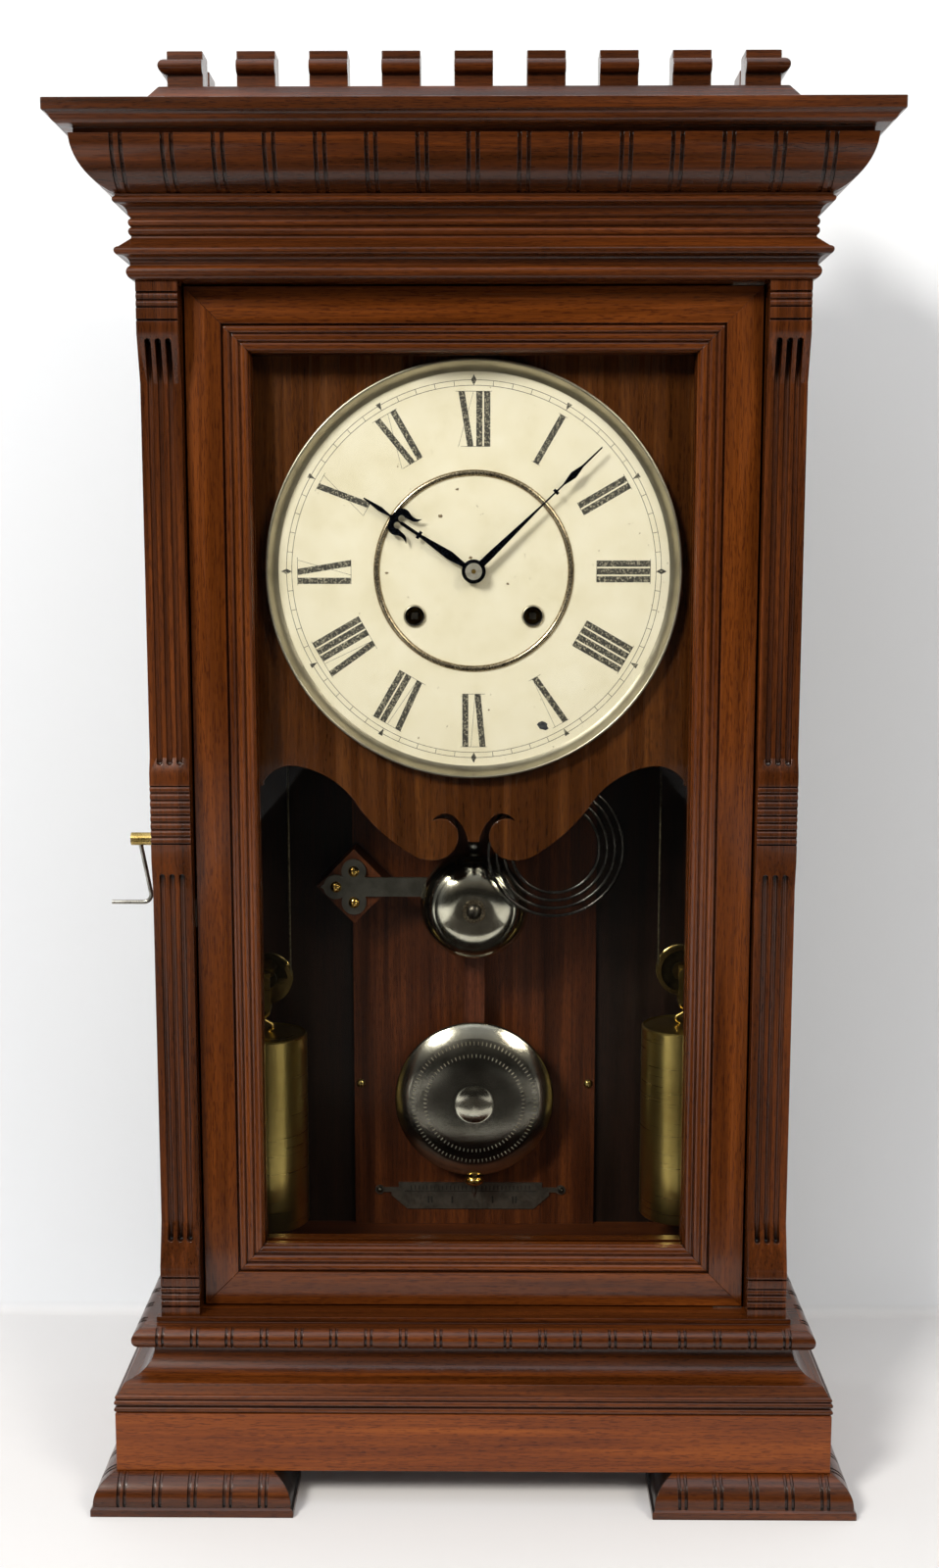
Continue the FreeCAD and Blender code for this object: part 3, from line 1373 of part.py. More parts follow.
def hanging_gear():
    weight("weight_right", right, weight_low)
    weight("weight_left", left, weight_low - left_lower)
    pulley_z = weight_low + weight_high + pulley_rise
    save("weight_pulley_right", pulley(weight_x, pulley_z))
    save("weight_pulley_left", pulley(-weight_x, pulley_z - left_lower))
    cable("cable_right", right, pulley_z)
    cable("cable_left", left, pulley_z - left_lower)
    px = top_pulley_x()
    save("top_pulley_right", pulley(px, cable_top))
    save("top_pulley_left", pulley(-px, cable_top))
    lead = cable_lead()
    save("cable_leads", [lead, mirrored(lead)])
    gap = pulley_half + shake
    half = cheek_wide
    cheeks = []
    for y in (weight_y - gap - cheek_thick, weight_y + gap):
        cheeks.append(box(px - half, px + half, y, y + cheek_thick, cable_top - half, neck_z))
    axle = bar(px, cable_top, axle_r, weight_y - gap - 2 * cheek_thick, weight_y + gap + 2 * cheek_thick)
    bracket = joined(cheeks + [axle])
    anchor_x = weight_x + cable_reach
    anchor = Part.makeCylinder(axle_r, neck_z - cable_top, Vector(anchor_x, weight_y, cable_top))
    save("pulley_brackets", [bracket, anchor, mirrored(bracket), mirrored(anchor)])


def bell():
    outer = sized(bell_shares, 0, bell_r, bell_front, bell_deep)
    rim = bell_front + bell_deep
    inner_r = bell_r - bell_wall
    inner = sized(bell_shares, 0, inner_r, bell_front + bell_wall, bell_deep - bell_wall)
    back = [(inner_r, rim), (inner[2][0], inner[2][1], inner[1][2], inner[1][3]),
            (inner[1][0], inner[1][1], inner[0][0], inner[0][1])]
    hole = [(bell_hole, bell_front + bell_wall), (bell_hole, bell_front)]
    save("bell", turned(outer + back + hole, 0, bell_z))
    edge = strap_y + strap_thick
    half = strap_high / 2
    flat = [
        (strap_left - lobe_left, strap_z + half), (strap_right, strap_z + half), (0, bell_z + half),
        (0, bell_z - half), (strap_right, strap_z - half), (strap_left - lobe_left, strap_z - half),
    ]
    strap = face(flat, in_xz(strap_y)).extrude(Vector(0, strap_thick, 0))
    point_x = strap_left - strap_point
    point = [(point_x, strap_z), (strap_left - lobe_left, strap_z - half), (strap_left - lobe_left, strap_z + half)]
    point = face(point, in_xz(strap_y)).extrude(Vector(0, strap_thick, 0))
    end = bar(0, bell_z, half, strap_y, edge)
    centres = lobe_places()
    lobes = [bar(x, z, lobe_r, strap_y, edge) for x, z in centres]
    stem_r = bell_hole - fit
    stem = bar(0, bell_z, stem_r, bell_front - washer_thick, edge)
    collar = bar(0, bell_z, half, bell_front + bell_wall + shake, strap_y)
    save("bell_strap", joined([strap, point, end, stem, collar] + lobes))


def lobe_places():
    return [(strap_left, strap_z + lobe_rise), (strap_left - lobe_left, strap_z), (strap_left, strap_z - lobe_rise)]


# A round-headed screw whose head stands in front of a face at y
def round_screw(x, z, r, y, high):
    return turned([(0, y), (r, y), dome(r, y, -high)], x, z)


def screws():
    heads = [round_screw(x, z, screw_r, strap_y, screw_high) for x, z in lobe_places()]
    for side in (left, right):
        heads.append(round_screw(side * board_screw_x, board_screw_z, board_screw_r, centre_board_y, screw_high))
        x = scale_x + side * scale_eye_x
        z = scale_z + scale_high * scale_shares[4][1]
        heads.append(round_screw(x, z, scale_screw_r, centre_board_y - scale_thick, screw_high))
    washer = tube(0, bell_z, washer_r, bell_hole, bell_front - washer_thick, bell_front)
    head = round_screw(0, bell_z, bell_screw_r, bell_front - washer_thick, bell_screw_thick)
    save("case_screws", heads + [washer, head])


# Half turns about two centres in turn make a spiral with no kink
def gong():
    radius = gong_r
    step = gong_pitch / 2
    centre_z = gong_z
    edges = []
    here_z = gong_z + gong_r
    up = 1
    for index in range(gong_half_turn_count):
        centre_z = here_z - up * radius
        side_x = gong_x + up * radius
        there_z = centre_z - up * radius
        middle = Vector(side_x, gong_y, centre_z)
        edges.append(Part.Arc(Vector(gong_x, gong_y, here_z), middle, Vector(gong_x, gong_y, there_z)).toShape())
        here_z = there_z
        up = -up
        radius -= step
    end = Vector(gong_x, gong_y, here_z)
    bend = Vector(gong_x + up * gong_bend, gong_y + gong_bend, here_z)
    turn = math.pi / 4
    middle = Vector(gong_x + up * gong_bend * math.sin(turn), gong_y + gong_bend * (1 - math.cos(turn)), here_z)
    edges.append(Part.Arc(end, middle, bend).toShape())
    edges.append(Part.makeLine(bend, Vector(bend.x, gong_post_y, bend.z)))
    save("gong_coil", swept(edges, gong_wire))
    print("least gap between gong turns:", round(least_gap(edges), 2))
    half = gong_post_half
    post = box(bend.x - half, bend.x + half, gong_post_y, backboard_y - gong_foot_thick, bend.z - half, bend.z + half)
    foot = bar(bend.x, bend.z, gong_foot_half, backboard_y - gong_foot_thick, backboard_y)
    cut = box(-centre_board_half, centre_board_half, centre_board_y, backboard_y, opening_z, neck_z)
    save("gong_stand", joined([post, foot]).cut(cut))


# Least distance between turns, on points along the wire's middle line
def least_gap(edges):
    points = [(index, edge.valueAt(edge.FirstParameter + share * (edge.LastParameter - edge.FirstParameter)))
              for index, edge in enumerate(edges) for share in (0, 0.25, 0.5, 0.75)]
    gaps = [a.distanceToPoint(b) for i, a in points for j, b in points if j > i + 1]
    return min(gaps) - 2 * gong_wire


def hammers():
    at = arbor_places()["gong_hammer"]
    start = Vector(at[0], gong_arm_y, dial_z + at[1])
    aim = beyond((0, 0), 1, gong_contact_angle)
    contact = gong_r + gong_wire + gong_head_gap
    near = Vector(gong_x + aim[0] * contact, gong_y, gong_z + aim[1] * contact)
    away = Vector(aim[0], 0, aim[1])
    head = Part.makeCylinder(gong_head_r, gong_head_long, near, away)
    middle = near + away * (gong_head_long / 2)
    rod = rod_between(start, Vector(middle.x, gong_y + gong_head_r, middle.z), hammer_wire)
    pin = bar(middle.x, middle.z, hammer_wire, gong_y, gong_y + gong_head_r + hammer_wire)
    tail = rod_between(start, start + Vector(-hammer_tail, 0, hammer_tail), hammer_wire)
    save("gong_hammer", joined([head, rod, pin, tail, arbor(at)]))
    at = arbor_places()["bell_hammer"]
    start = Vector(at[0], bell_head_y, dial_z + at[1])
    ball = Vector(0, bell_head_y, bell_z + bell_r + bell_head_gap + bell_head_r)
    head = Part.makeSphere(bell_head_r, ball)
    rod = rod_between(start, ball, hammer_wire)
    tail = rod_between(start, start + Vector(hammer_tail, 0, hammer_tail), hammer_wire)
    save("bell_hammer", joined([head, rod, tail, arbor(at)]))


def beat_scale():
    half = face(sized(scale_shares, 0, scale_half, scale_z, scale_high), in_xz(centre_board_y - scale_thick))
    half = half.extrude(Vector(0, scale_thick, 0))
    z = scale_z + scale_high * scale_shares[4][1]
    eye = bar(scale_eye_x, z, scale_eye_r, centre_board_y - scale_thick, centre_board_y)
    neck_half = scale_eye_r / 2
    neck = box(scale_half, scale_eye_x, centre_board_y - scale_thick, centre_board_y, z - neck_half, z + neck_half)
    half = joined([half, eye, neck])
    whole = joined([half, mirrored(half)]).translated(Vector(scale_x, 0, 0))
    save("beat_scale", whole)


def winding_crank():
    axis = Vector(-1, 0, 0)
    inner_end = Vector(-side_half - crank_hub_gap, crank_y, crank_z)
    hub = Part.makeCylinder(crank_hub_r, crank_hub_long, inner_end, axis)
    bore = Part.makeCylinder(peg_r + fit, crank_bore_long, inner_end, axis)
    low = crank_z - crank_drop
    points = [
        Vector(-side_half - crank_arm_out, crank_y, crank_z - crank_hub_r * crank_start_share),
        Vector(-side_half - crank_elbow_out, crank_y, low), Vector(-side_half - crank_handle_out, crank_y, low),
    ]
    wire = bent_wire(points, crank_wire, crank_round)
    hub = hub.cut(bore)
    save("winding_crank", [hub, wire.cut(hub)])


crest_gallery()
cornice()
base()
bracket_feet()
case_boards()
pilasters()
door()
pivot_hinges()
case_fittings()
dial_panel()
dial()
minute_stud = motion_work()
movement(minute_stud)
going_train()
strike_train()
drum("time_drum", right)
drum("strike_drum", left)
verge()
pendulum()
hanging_gear()
bell()
screws()
gong()
hammers()
beat_scale()
winding_crank()
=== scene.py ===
import bmesh
import bpy
import math
import random
from mathutils import Matrix, Vector


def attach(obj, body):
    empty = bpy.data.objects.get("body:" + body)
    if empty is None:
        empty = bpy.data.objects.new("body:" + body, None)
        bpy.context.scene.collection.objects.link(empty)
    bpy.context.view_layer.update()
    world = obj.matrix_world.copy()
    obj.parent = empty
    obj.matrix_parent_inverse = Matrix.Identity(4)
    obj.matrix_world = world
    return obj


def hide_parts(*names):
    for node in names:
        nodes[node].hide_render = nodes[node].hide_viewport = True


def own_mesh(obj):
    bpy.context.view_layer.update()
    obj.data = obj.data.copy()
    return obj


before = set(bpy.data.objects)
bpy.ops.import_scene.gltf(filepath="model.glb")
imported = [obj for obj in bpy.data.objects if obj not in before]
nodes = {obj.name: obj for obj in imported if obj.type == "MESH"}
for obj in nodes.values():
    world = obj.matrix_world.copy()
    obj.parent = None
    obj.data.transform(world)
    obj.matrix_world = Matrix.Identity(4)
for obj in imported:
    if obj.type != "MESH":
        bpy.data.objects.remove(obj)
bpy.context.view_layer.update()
mm = 0.001
print("frame loaded:", len(nodes), "nodes")


# sRGB hex to the linear colour that Blender's sockets take
def linear(code):
    parts = [int(code[i:i + 2], 16) / 255 for i in (1, 3, 5)]
    return [p / 12.92 if p <= 0.04045 else ((p + 0.055) / 1.055) ** 2.4 for p in parts] + [1]


# Links an input that is given a socket and sets any other, where text is a hex colour
def setInputs(tree, node, inputs):
    for key, value in inputs.items():
        if isinstance(value, bpy.types.NodeSocket):
            tree.links.new(value, node.inputs[key])
        else:
            node.inputs[key].default_value = linear(value) if isinstance(value, str) else value


# Adds a node with its settings, its inputs and, on a ramp, its stops: the two outer ones come first
def addNode(tree, kind, inputs=None, stops=None, **settings):
    node = tree.nodes.new(kind)
    for key, value in settings.items():
        setattr(node, key, value)
    setInputs(tree, node, inputs or {})
    if stops:
        ramp = node.color_ramp
        for index, (place, code) in enumerate(stops):
            stop = ramp.elements[index] if index < 2 else ramp.elements.new(place)
            stop.position = place
            stop.color = linear(code)
    return node


def newFinish(name, inputs):
    material = bpy.data.materials.new(name)
    material.use_nodes = True
    tree = material.node_tree
    shader = tree.nodes["Principled BSDF"]
    setInputs(tree, shader, inputs)
    place = addNode(tree, "ShaderNodeTexCoord").outputs["Object"]
    return material, tree, shader, place


# The scale that draws a pattern out along the named axes: the smaller the share, the longer its streaks
def drawn(axis, share):
    return [share if name in axis else 1 for name in "XYZ"]


def perMetre(sizeMm):
    return 1000 / sizeMm


# wood: sizes in millimetres, pores drawn two or three times as wide as real ones so that they show
walnutLook = {
    "ior": 1.5, "specular": 0.28, "coatRough": 0.08,
    "band": 9, "bandDrawn": 0.035, "bandShare": 0.62,
    "line": 1.3, "lineDrawn": 0.02, "lineShare": 0.38,
    "pore": 0.45, "poreDrawn": 0.09, "poreTone": "#C4B8B0",
    "groove": 3.0, "waxAndShadeTone": "#2A221C",
    "glossDown": 0.06, "glossUp": 0.1, "bump": 0.2, "bumpDeep": 0.1,
}


# American walnut, planed and French polished: reddish brown, dark pores, a soft thick shine
def walnut(name, axis, tones, rough, coat):
    look = walnutLook
    material, tree, shader, place = newFinish(name, {
        "Roughness": rough, "IOR": look["ior"], "Specular IOR Level": look["specular"],
        "Coat Weight": coat, "Coat Roughness": look["coatRough"], "Coat IOR": look["ior"],
    })
    along = [addNode(tree, "ShaderNodeMapping", {"Vector": place, "Scale": drawn(axis, look[share])})
             for share in ("bandDrawn", "lineDrawn", "poreDrawn")]
    band = addNode(tree, "ShaderNodeTexNoise", {
        "Vector": along[0].outputs["Vector"], "Scale": perMetre(look["band"]), "Detail": 3, "Roughness": 0.55,
        "Distortion": 0.5,
    })
    line = addNode(tree, "ShaderNodeTexNoise", {
        "Vector": along[1].outputs["Vector"], "Scale": perMetre(look["line"]), "Detail": 4, "Roughness": 0.6,
    })
    pore = addNode(tree, "ShaderNodeTexNoise", {
        "Vector": along[2].outputs["Vector"], "Scale": perMetre(look["pore"]), "Detail": 1,
    })
    mixed = addNode(tree, "ShaderNodeMath", {
        0: band.outputs["Fac"], 1: look["bandShare"],
    }, operation="MULTIPLY")
    mixed = addNode(tree, "ShaderNodeMath", {
        0: line.outputs["Fac"], 1: look["lineShare"], 2: mixed.outputs[0],
    }, operation="MULTIPLY_ADD")
    colour = addNode(tree, "ShaderNodeValToRGB", {"Fac": mixed.outputs[0]}, stops=[
        (0.3, tones[0]), (0.7, tones[2]), (0.5, tones[1]),
    ])
    dark = addNode(tree, "ShaderNodeValToRGB", {"Fac": pore.outputs["Fac"]}, stops=[
        (0.34, look["poreTone"]), (0.46, "#FFFFFF"),
    ])
    colour = addNode(tree, "ShaderNodeMix", {
        "Factor": 1, 6: colour.outputs["Color"], 7: dark.outputs["Color"],
    }, data_type="RGBA", blend_type="MULTIPLY")
    # old wax and dust lie dark in the grooves and corners, and painted shade darkens them further: the colour
    # goes darker wherever ambient occlusion finds the wood closed in
    openness = addNode(tree, "ShaderNodeAmbientOcclusion", {
        "Distance": look["groove"] * mm,
    }, samples=6, only_local=True)
    waxAndShade = addNode(tree, "ShaderNodeValToRGB", {"Fac": openness.outputs["AO"]}, stops=[
        (0.4, look["waxAndShadeTone"]), (0.88, "#FFFFFF"),
    ])
    colour = addNode(tree, "ShaderNodeMix", {
        "Factor": 1, 6: colour.outputs[2], 7: waxAndShade.outputs["Color"],
    }, data_type="RGBA", blend_type="MULTIPLY")
    gloss = addNode(tree, "ShaderNodeMapRange", {
        "Value": band.outputs["Fac"], "From Min": 0.3, "From Max": 0.7,
        "To Min": rough - look["glossDown"], "To Max": rough + look["glossUp"],
    })
    high = addNode(tree, "ShaderNodeMath", {
        0: dark.outputs["Color"], 1: line.outputs["Fac"],
    }, operation="ADD")
    bump = addNode(tree, "ShaderNodeBump", {
        "Height": high.outputs[0], "Strength": look["bump"], "Distance": look["bumpDeep"] * mm,
    })
    setInputs(tree, shader, {
        "Base Color": colour.outputs[2], "Roughness": gloss.outputs[0], "Normal": bump.outputs[0],
    })
    return material


# dark, middle and light tone of each wood
caseTones = ("#251003", "#431F07", "#68330C")  # mouldings, deep brown under polish
doorTones = ("#331504", "#542808", "#743B0F")  # door, redder and lighter from handling
plinthTones = ("#4E2006", "#6C340D", "#884715")  # plinth, lighter and more orange than the mouldings
panelTones = ("#301705", "#4A260A", "#683C15")  # dial panel, kept darker behind the glass
innerTones = ("#220D03", "#441E07", "#68340E")  # inside boards, oiled and never polished
insideShadeTones = ("#0C0502", "#190B04", "#2A1408")  # side boards inside and the back, painted almost black as the shade inside the case
notchShadeTones = ("#080301", "#120702", "#1E0D05")  # carved notches: near black, painted shade with the stain and wax gathered there
rodTones = ("#2A1208", "#4C2410", "#66361C")  # cherry, finer and redder than the case
walnutX = walnut("walnut moulding, grain across", "X", caseTones, rough=0.24, coat=0.26)
walnutY = walnut("walnut moulding, grain to the back", "Y", caseTones, rough=0.24, coat=0.26)
walnutZ = walnut("walnut pilaster, grain upright", "Z", caseTones, rough=0.24, coat=0.26)
plinthX = walnut("walnut plinth, grain across", "X", plinthTones, rough=0.4, coat=0.06)
plinthY = walnut("walnut plinth, grain to the back", "Y", plinthTones, rough=0.4, coat=0.06)
panelZ = walnut("walnut dial panel", "Z", panelTones, rough=0.26, coat=0.3)
doorX = walnut("walnut door rail", "X", doorTones, rough=0.22, coat=0.3)
doorZ = walnut("walnut door stile", "Z", doorTones, rough=0.22, coat=0.3)
innerZ = walnut("walnut inside, upright", "Z", innerTones, rough=0.4, coat=0.05)
innerX = walnut("walnut inside, across", "X", innerTones, rough=0.4, coat=0.05)
insideShadeZ = walnut("walnut inside, painted shade", "Z", insideShadeTones, rough=0.45, coat=0.03)
notchShadeX = walnut("walnut groove, wax and painted shade", "X", notchShadeTones, rough=0.4, coat=0.1)
rodWood = walnut("varnished cherry rod", "Z", rodTones, rough=0.4, coat=0.3)
print("woods made")

# metals: sizes in millimetres, scratches drawn wide enough to show
metalLook = {"scratch": 0.8, "drawn": 0.02, "wave": 24, "bumpStrength": 0.3}


# light and dark are the clean and the tarnished colour, patch is the size of the tarnish. Real turning
# marks are too fine to show: they are drawn as rings round the centre, about six times ring apart
def metal(name, light, dark, patch, rough, spread, bump=0.0, axis=None, centre=None, ring=None, wavy=0.0):
    look = metalLook
    material, tree, shader, place = newFinish(name, {"Metallic": 1, "Roughness": rough})
    patches = addNode(tree, "ShaderNodeTexNoise", {
        "Vector": place, "Scale": perMetre(patch), "Detail": 4, "Roughness": 0.6,
    })
    colour = addNode(tree, "ShaderNodeValToRGB", {"Fac": patches.outputs["Fac"]}, stops=[
        (0.3, dark), (0.6, light),
    ])
    if axis:
        place = addNode(tree, "ShaderNodeMapping", {
            "Vector": place, "Scale": drawn(axis, look["drawn"]),
        }).outputs["Vector"]
    scratch = addNode(tree, "ShaderNodeTexNoise", {
        "Vector": place, "Scale": perMetre(look["scratch"]), "Detail": 3,
    })
    gloss = addNode(tree, "ShaderNodeMapRange", {
        "Value": scratch.outputs["Fac"], "From Min": 0.3, "From Max": 0.7,
        "To Min": rough - spread, "To Max": rough + spread,
    })
    height = scratch.outputs["Fac"]
    if centre:
        centred = addNode(tree, "ShaderNodeMapping", {
            "Vector": place, "Location": [-value for value in centre],
        })
        height = addNode(tree, "ShaderNodeTexWave", {
            "Vector": centred.outputs["Vector"], "Scale": perMetre(ring) / 20, "Distortion": 0.4, "Detail": 2,
        }, wave_type="RINGS", rings_direction="Y").outputs["Fac"]
    relief = {"Height": height, "Strength": look["bumpStrength"], "Distance": bump * mm}
    if wavy:
        slow = addNode(tree, "ShaderNodeTexNoise", {
            "Vector": place, "Scale": perMetre(look["wave"]), "Detail": 1,
        })
        relief["Normal"] = addNode(tree, "ShaderNodeBump", {
            "Height": slow.outputs["Fac"], "Strength": 1, "Distance": wavy * mm,
        }).outputs[0]
    setInputs(tree, shader, {
        "Base Color": colour.outputs["Color"], "Roughness": gloss.outputs[0],
        "Normal": addNode(tree, "ShaderNodeBump", relief).outputs[0],
    })
    return material


bellCentre = (0, 0.025, 0.285)
bobCentre = (0, 0.045, 0.1739)
# nickel plate gone warm and cloudy with age: a soft reflection
nickel = metal("nickel plate, aged", "#B4AD9A", "#A09988", patch=14, rough=0.33, spread=0.02)
nutNickel = metal("nickel nut, satin", "#D6D1C4", "#B5AE9E", patch=4, rough=0.42, spread=0.05, bump=0.01)
# worn through to the brass: brownish, with sharper lights
ringBrown = metal("nickel ring worn to brass", "#B5A78E", "#8C7C64", patch=5, rough=0.26, spread=0.06,
                  bump=0.01)
# spun and buffed: a clear reflection, a little wavy, with faint turning marks
bellNickel = metal("nickel bell, spun", "#CFCAB9", "#B3AD9A", patch=12, rough=0.15, spread=0.03, bump=0.006,
                   centre=bellCentre, ring=0.7, wavy=0.25)
bobNickel = metal("nickel bob, spun", "#C6C1B2", "#A8A293", patch=16, rough=0.16, spread=0.03, bump=0.006,
                  centre=bobCentre, ring=0.7, wavy=0.15)
# the bob's face between its ridges is painted a darker grey, as the dark reflection of the room, and the
# ridges' tops are painted bright, as highlights
bobFaceDarkReflection = metal("nickel bob face, painted dark reflection", "#7A766D", "#5C584F", patch=12, rough=0.22, spread=0.03,
                bump=0.004, centre=bobCentre, ring=0.6, wavy=0.15)
bobRidgeHighlight = metal("nickel ridges, painted highlight", "#E6E1D3", "#CFC9BA", patch=6, rough=0.5, spread=0.04,
                 bump=0.005)
# lacquered brass gone dull and a little green in places
brass = metal("brass, lacquer dulled", "#B49C60", "#8F7942", patch=8, rough=0.27, spread=0.05, bump=0.01)
# brushed round on a lathe: even and pale, with one long upright light
weightBrass = metal("brass tube, lathe brushed", "#CDB46A", "#B39854", patch=40, rough=0.29, spread=0.02,
                    bump=0.0003, axis="XY")
# turned pulley, its rim bright and its recessed web blackened
pulleyDark = metal("brass pulley web, blackened", "#4A4028", "#2C2618", patch=6, rough=0.35, spread=0.05,
                   bump=0.003)
pulleyBrass = metal("brass pulley, turned", "#B59B5C", "#97804A", patch=14, rough=0.24, spread=0.03,
                    bump=0.003)
# rolled plate and wheels, bare and browned in patches
clockBrass = metal("brass plate, rolled", "#B8964F", "#8C6E35", patch=8, rough=0.32, spread=0.07, bump=0.02)
# kept yellow and shiny by fingers
brightBrass = metal("brass, handled bright", "#E3B964", "#B98A38", patch=4, rough=0.16, spread=0.04,
                    bump=0.01)
# mild steel with a fine grey skin, and a strap whose thin plating has gone flat and grey
steel = metal("mild steel, grey", "#A6A49C", "#74716A", patch=5, rough=0.32, spread=0.08, bump=0.02)
strapSteel = metal("steel strap, dull nickel wash", "#66635B", "#524F48", patch=10, rough=0.42, spread=0.05,
                   bump=0.01)
# heated until blue, and blackened in oil: both dark, with thin sharp lights
bluedSteel = metal("spring steel, blued", "#262B38", "#141519", patch=6, rough=0.26, spread=0.07, bump=0.01)
gongSteel = metal("spring steel, oil black", "#4E4B47", "#25221F", patch=4, rough=0.24, spread=0.06,
                  bump=0.01)
# rough from the sand, painted black and nearly without a shine
blackIron = metal("cast iron, black", "#2C2926", "#171513", patch=3, rough=0.55, spread=0.1, bump=0.08)
# silvering gone grey, and screw heads browned by age
scaleSteel = metal("stamped plate, silvered and dark", "#8A877E", "#67645C", patch=6, rough=0.42,
                   spread=0.06, bump=0.02)
darkScrew = metal("steel screw, browned", "#5C574E", "#2E2A26", patch=2, rough=0.36, spread=0.08, bump=0.02)
# twisted wires, dull, with specks of light
cableGut = metal("stranded bronze cable", "#7A7058", "#453E30", patch=1.2, rough=0.4, spread=0.1, bump=0.05)
print("metals made")

# dial paint, print and glass: sizes in millimetres
paintLook = {"rough": 0.48, "ior": 1.5, "coat": 0.12, "cloud": 22, "speck": 2.4, "speckShare": 0.8,
             "bump": 0.25, "bumpDeep": 0.3}
inkLook = {"rough": 0.5, "ior": 1.5}
glassLook = {"ripple": 60, "bump": 0.3, "bumpDeep": 0.4, "tint": "#FEFFFE", "rough": 0.02, "edge": 1.22}


# zinc dial with baked cream paint, yellowed: eggshell sheen, faint mottling and fly specks
def dialPaint(name):
    look = paintLook
    material, tree, shader, place = newFinish(name, {
        "Roughness": look["rough"], "IOR": look["ior"], "Coat Weight": look["coat"],
    })
    cloud = addNode(tree, "ShaderNodeTexNoise", {
        "Vector": place, "Scale": perMetre(look["cloud"]), "Detail": 5, "Roughness": 0.62,
    })
    colour = addNode(tree, "ShaderNodeValToRGB", {"Fac": cloud.outputs["Fac"]}, stops=[
        (0.3, "#DDD4B9"), (0.7, "#EAE3CF"), (0.5, "#E5DDC6"),
    ])
    speck = addNode(tree, "ShaderNodeTexNoise", {
        "Vector": place, "Scale": perMetre(look["speck"]), "Detail": 2,
    })
    dots = addNode(tree, "ShaderNodeValToRGB", {"Fac": speck.outputs["Fac"]}, stops=[
        (0.2, "#8A7B5E"), (0.27, "#FFFFFF"),
    ])
    both = addNode(tree, "ShaderNodeMix", {
        "Factor": look["speckShare"], 6: colour.outputs["Color"], 7: dots.outputs["Color"],
    }, data_type="RGBA", blend_type="MULTIPLY")
    bump = addNode(tree, "ShaderNodeBump", {
        "Height": cloud.outputs["Fac"], "Strength": look["bump"], "Distance": look["bumpDeep"] * mm,
    })
    setInputs(tree, shader, {"Base Color": both.outputs[2], "Normal": bump.outputs[0]})
    return material


# A coat rubbed thin in specks: between low and high its colour gives way to what lies under it
def worn(name, coat, under, specks, low, high):
    material, tree, shader, place = newFinish(name, {"Roughness": inkLook["rough"], "IOR": inkLook["ior"]})
    wear = addNode(tree, "ShaderNodeTexNoise", {
        "Vector": place, "Scale": perMetre(specks), "Detail": 3, "Roughness": 0.7,
    })
    colour = addNode(tree, "ShaderNodeValToRGB", {"Fac": wear.outputs["Fac"]}, stops=[
        (low, coat), (high, under),
    ])
    setInputs(tree, shader, {"Base Color": colour.outputs["Color"]})
    return material


# old window glass: nearly clear, a Fresnel reflection, slightly uneven
def paneGlass(name):
    look = glassLook
    material, tree, shader, place = newFinish(name, {})
    ripple = addNode(tree, "ShaderNodeTexNoise", {
        "Vector": place, "Scale": perMetre(look["ripple"]), "Detail": 0,
    })
    bump = addNode(tree, "ShaderNodeBump", {
        "Height": ripple.outputs["Fac"], "Strength": look["bump"], "Distance": look["bumpDeep"] * mm,
    })
    clear = addNode(tree, "ShaderNodeBsdfTransparent", {"Color": look["tint"]})
    shine = addNode(tree, "ShaderNodeBsdfGlossy", {"Roughness": look["rough"], "Normal": bump.outputs[0]})
    edge = addNode(tree, "ShaderNodeFresnel", {"IOR": look["edge"], "Normal": bump.outputs[0]})
    both = addNode(tree, "ShaderNodeMixShader", {
        0: edge.outputs[0], 1: clear.outputs[0], 2: shine.outputs[0],
    })
    tree.links.new(both.outputs[0], tree.nodes["Material Output"].inputs["Surface"])
    tree.nodes.remove(shader)
    return material


dialCream = dialPaint("zinc dial, baked cream paint")
# printed ink, black and broken where the paint shows through, paler on the fine lines
numeralInk = worn("printer's ink, rubbed", "#33312C", "#B5AE98", specks=0.9, low=0.5, high=0.68)
trackInk = worn("printer's ink, fine line", "#57544B", "#A8A28C", specks=2.0, low=0.5, high=0.7)
# flaked paint: brown where the zinc has tarnished, nearly black where oil has run in
chipBrown = worn("paint chipped to zinc", "#5D4C38", "#A08F6C", specks=1.2, low=0.4, high=0.7)
chipDark = worn("paint chipped, old oil", "#20242C", "#4A4B4A", specks=1.5, low=0.45, high=0.7)
# pressed marks filled with black wax: flat and dark
scaleInk = worn("stamped mark, filled black", "#14120F", "#2F2C28", specks=1.5, low=0.5, high=0.7)
glass = paneGlass("window glass, old")
print("paints and glass made")

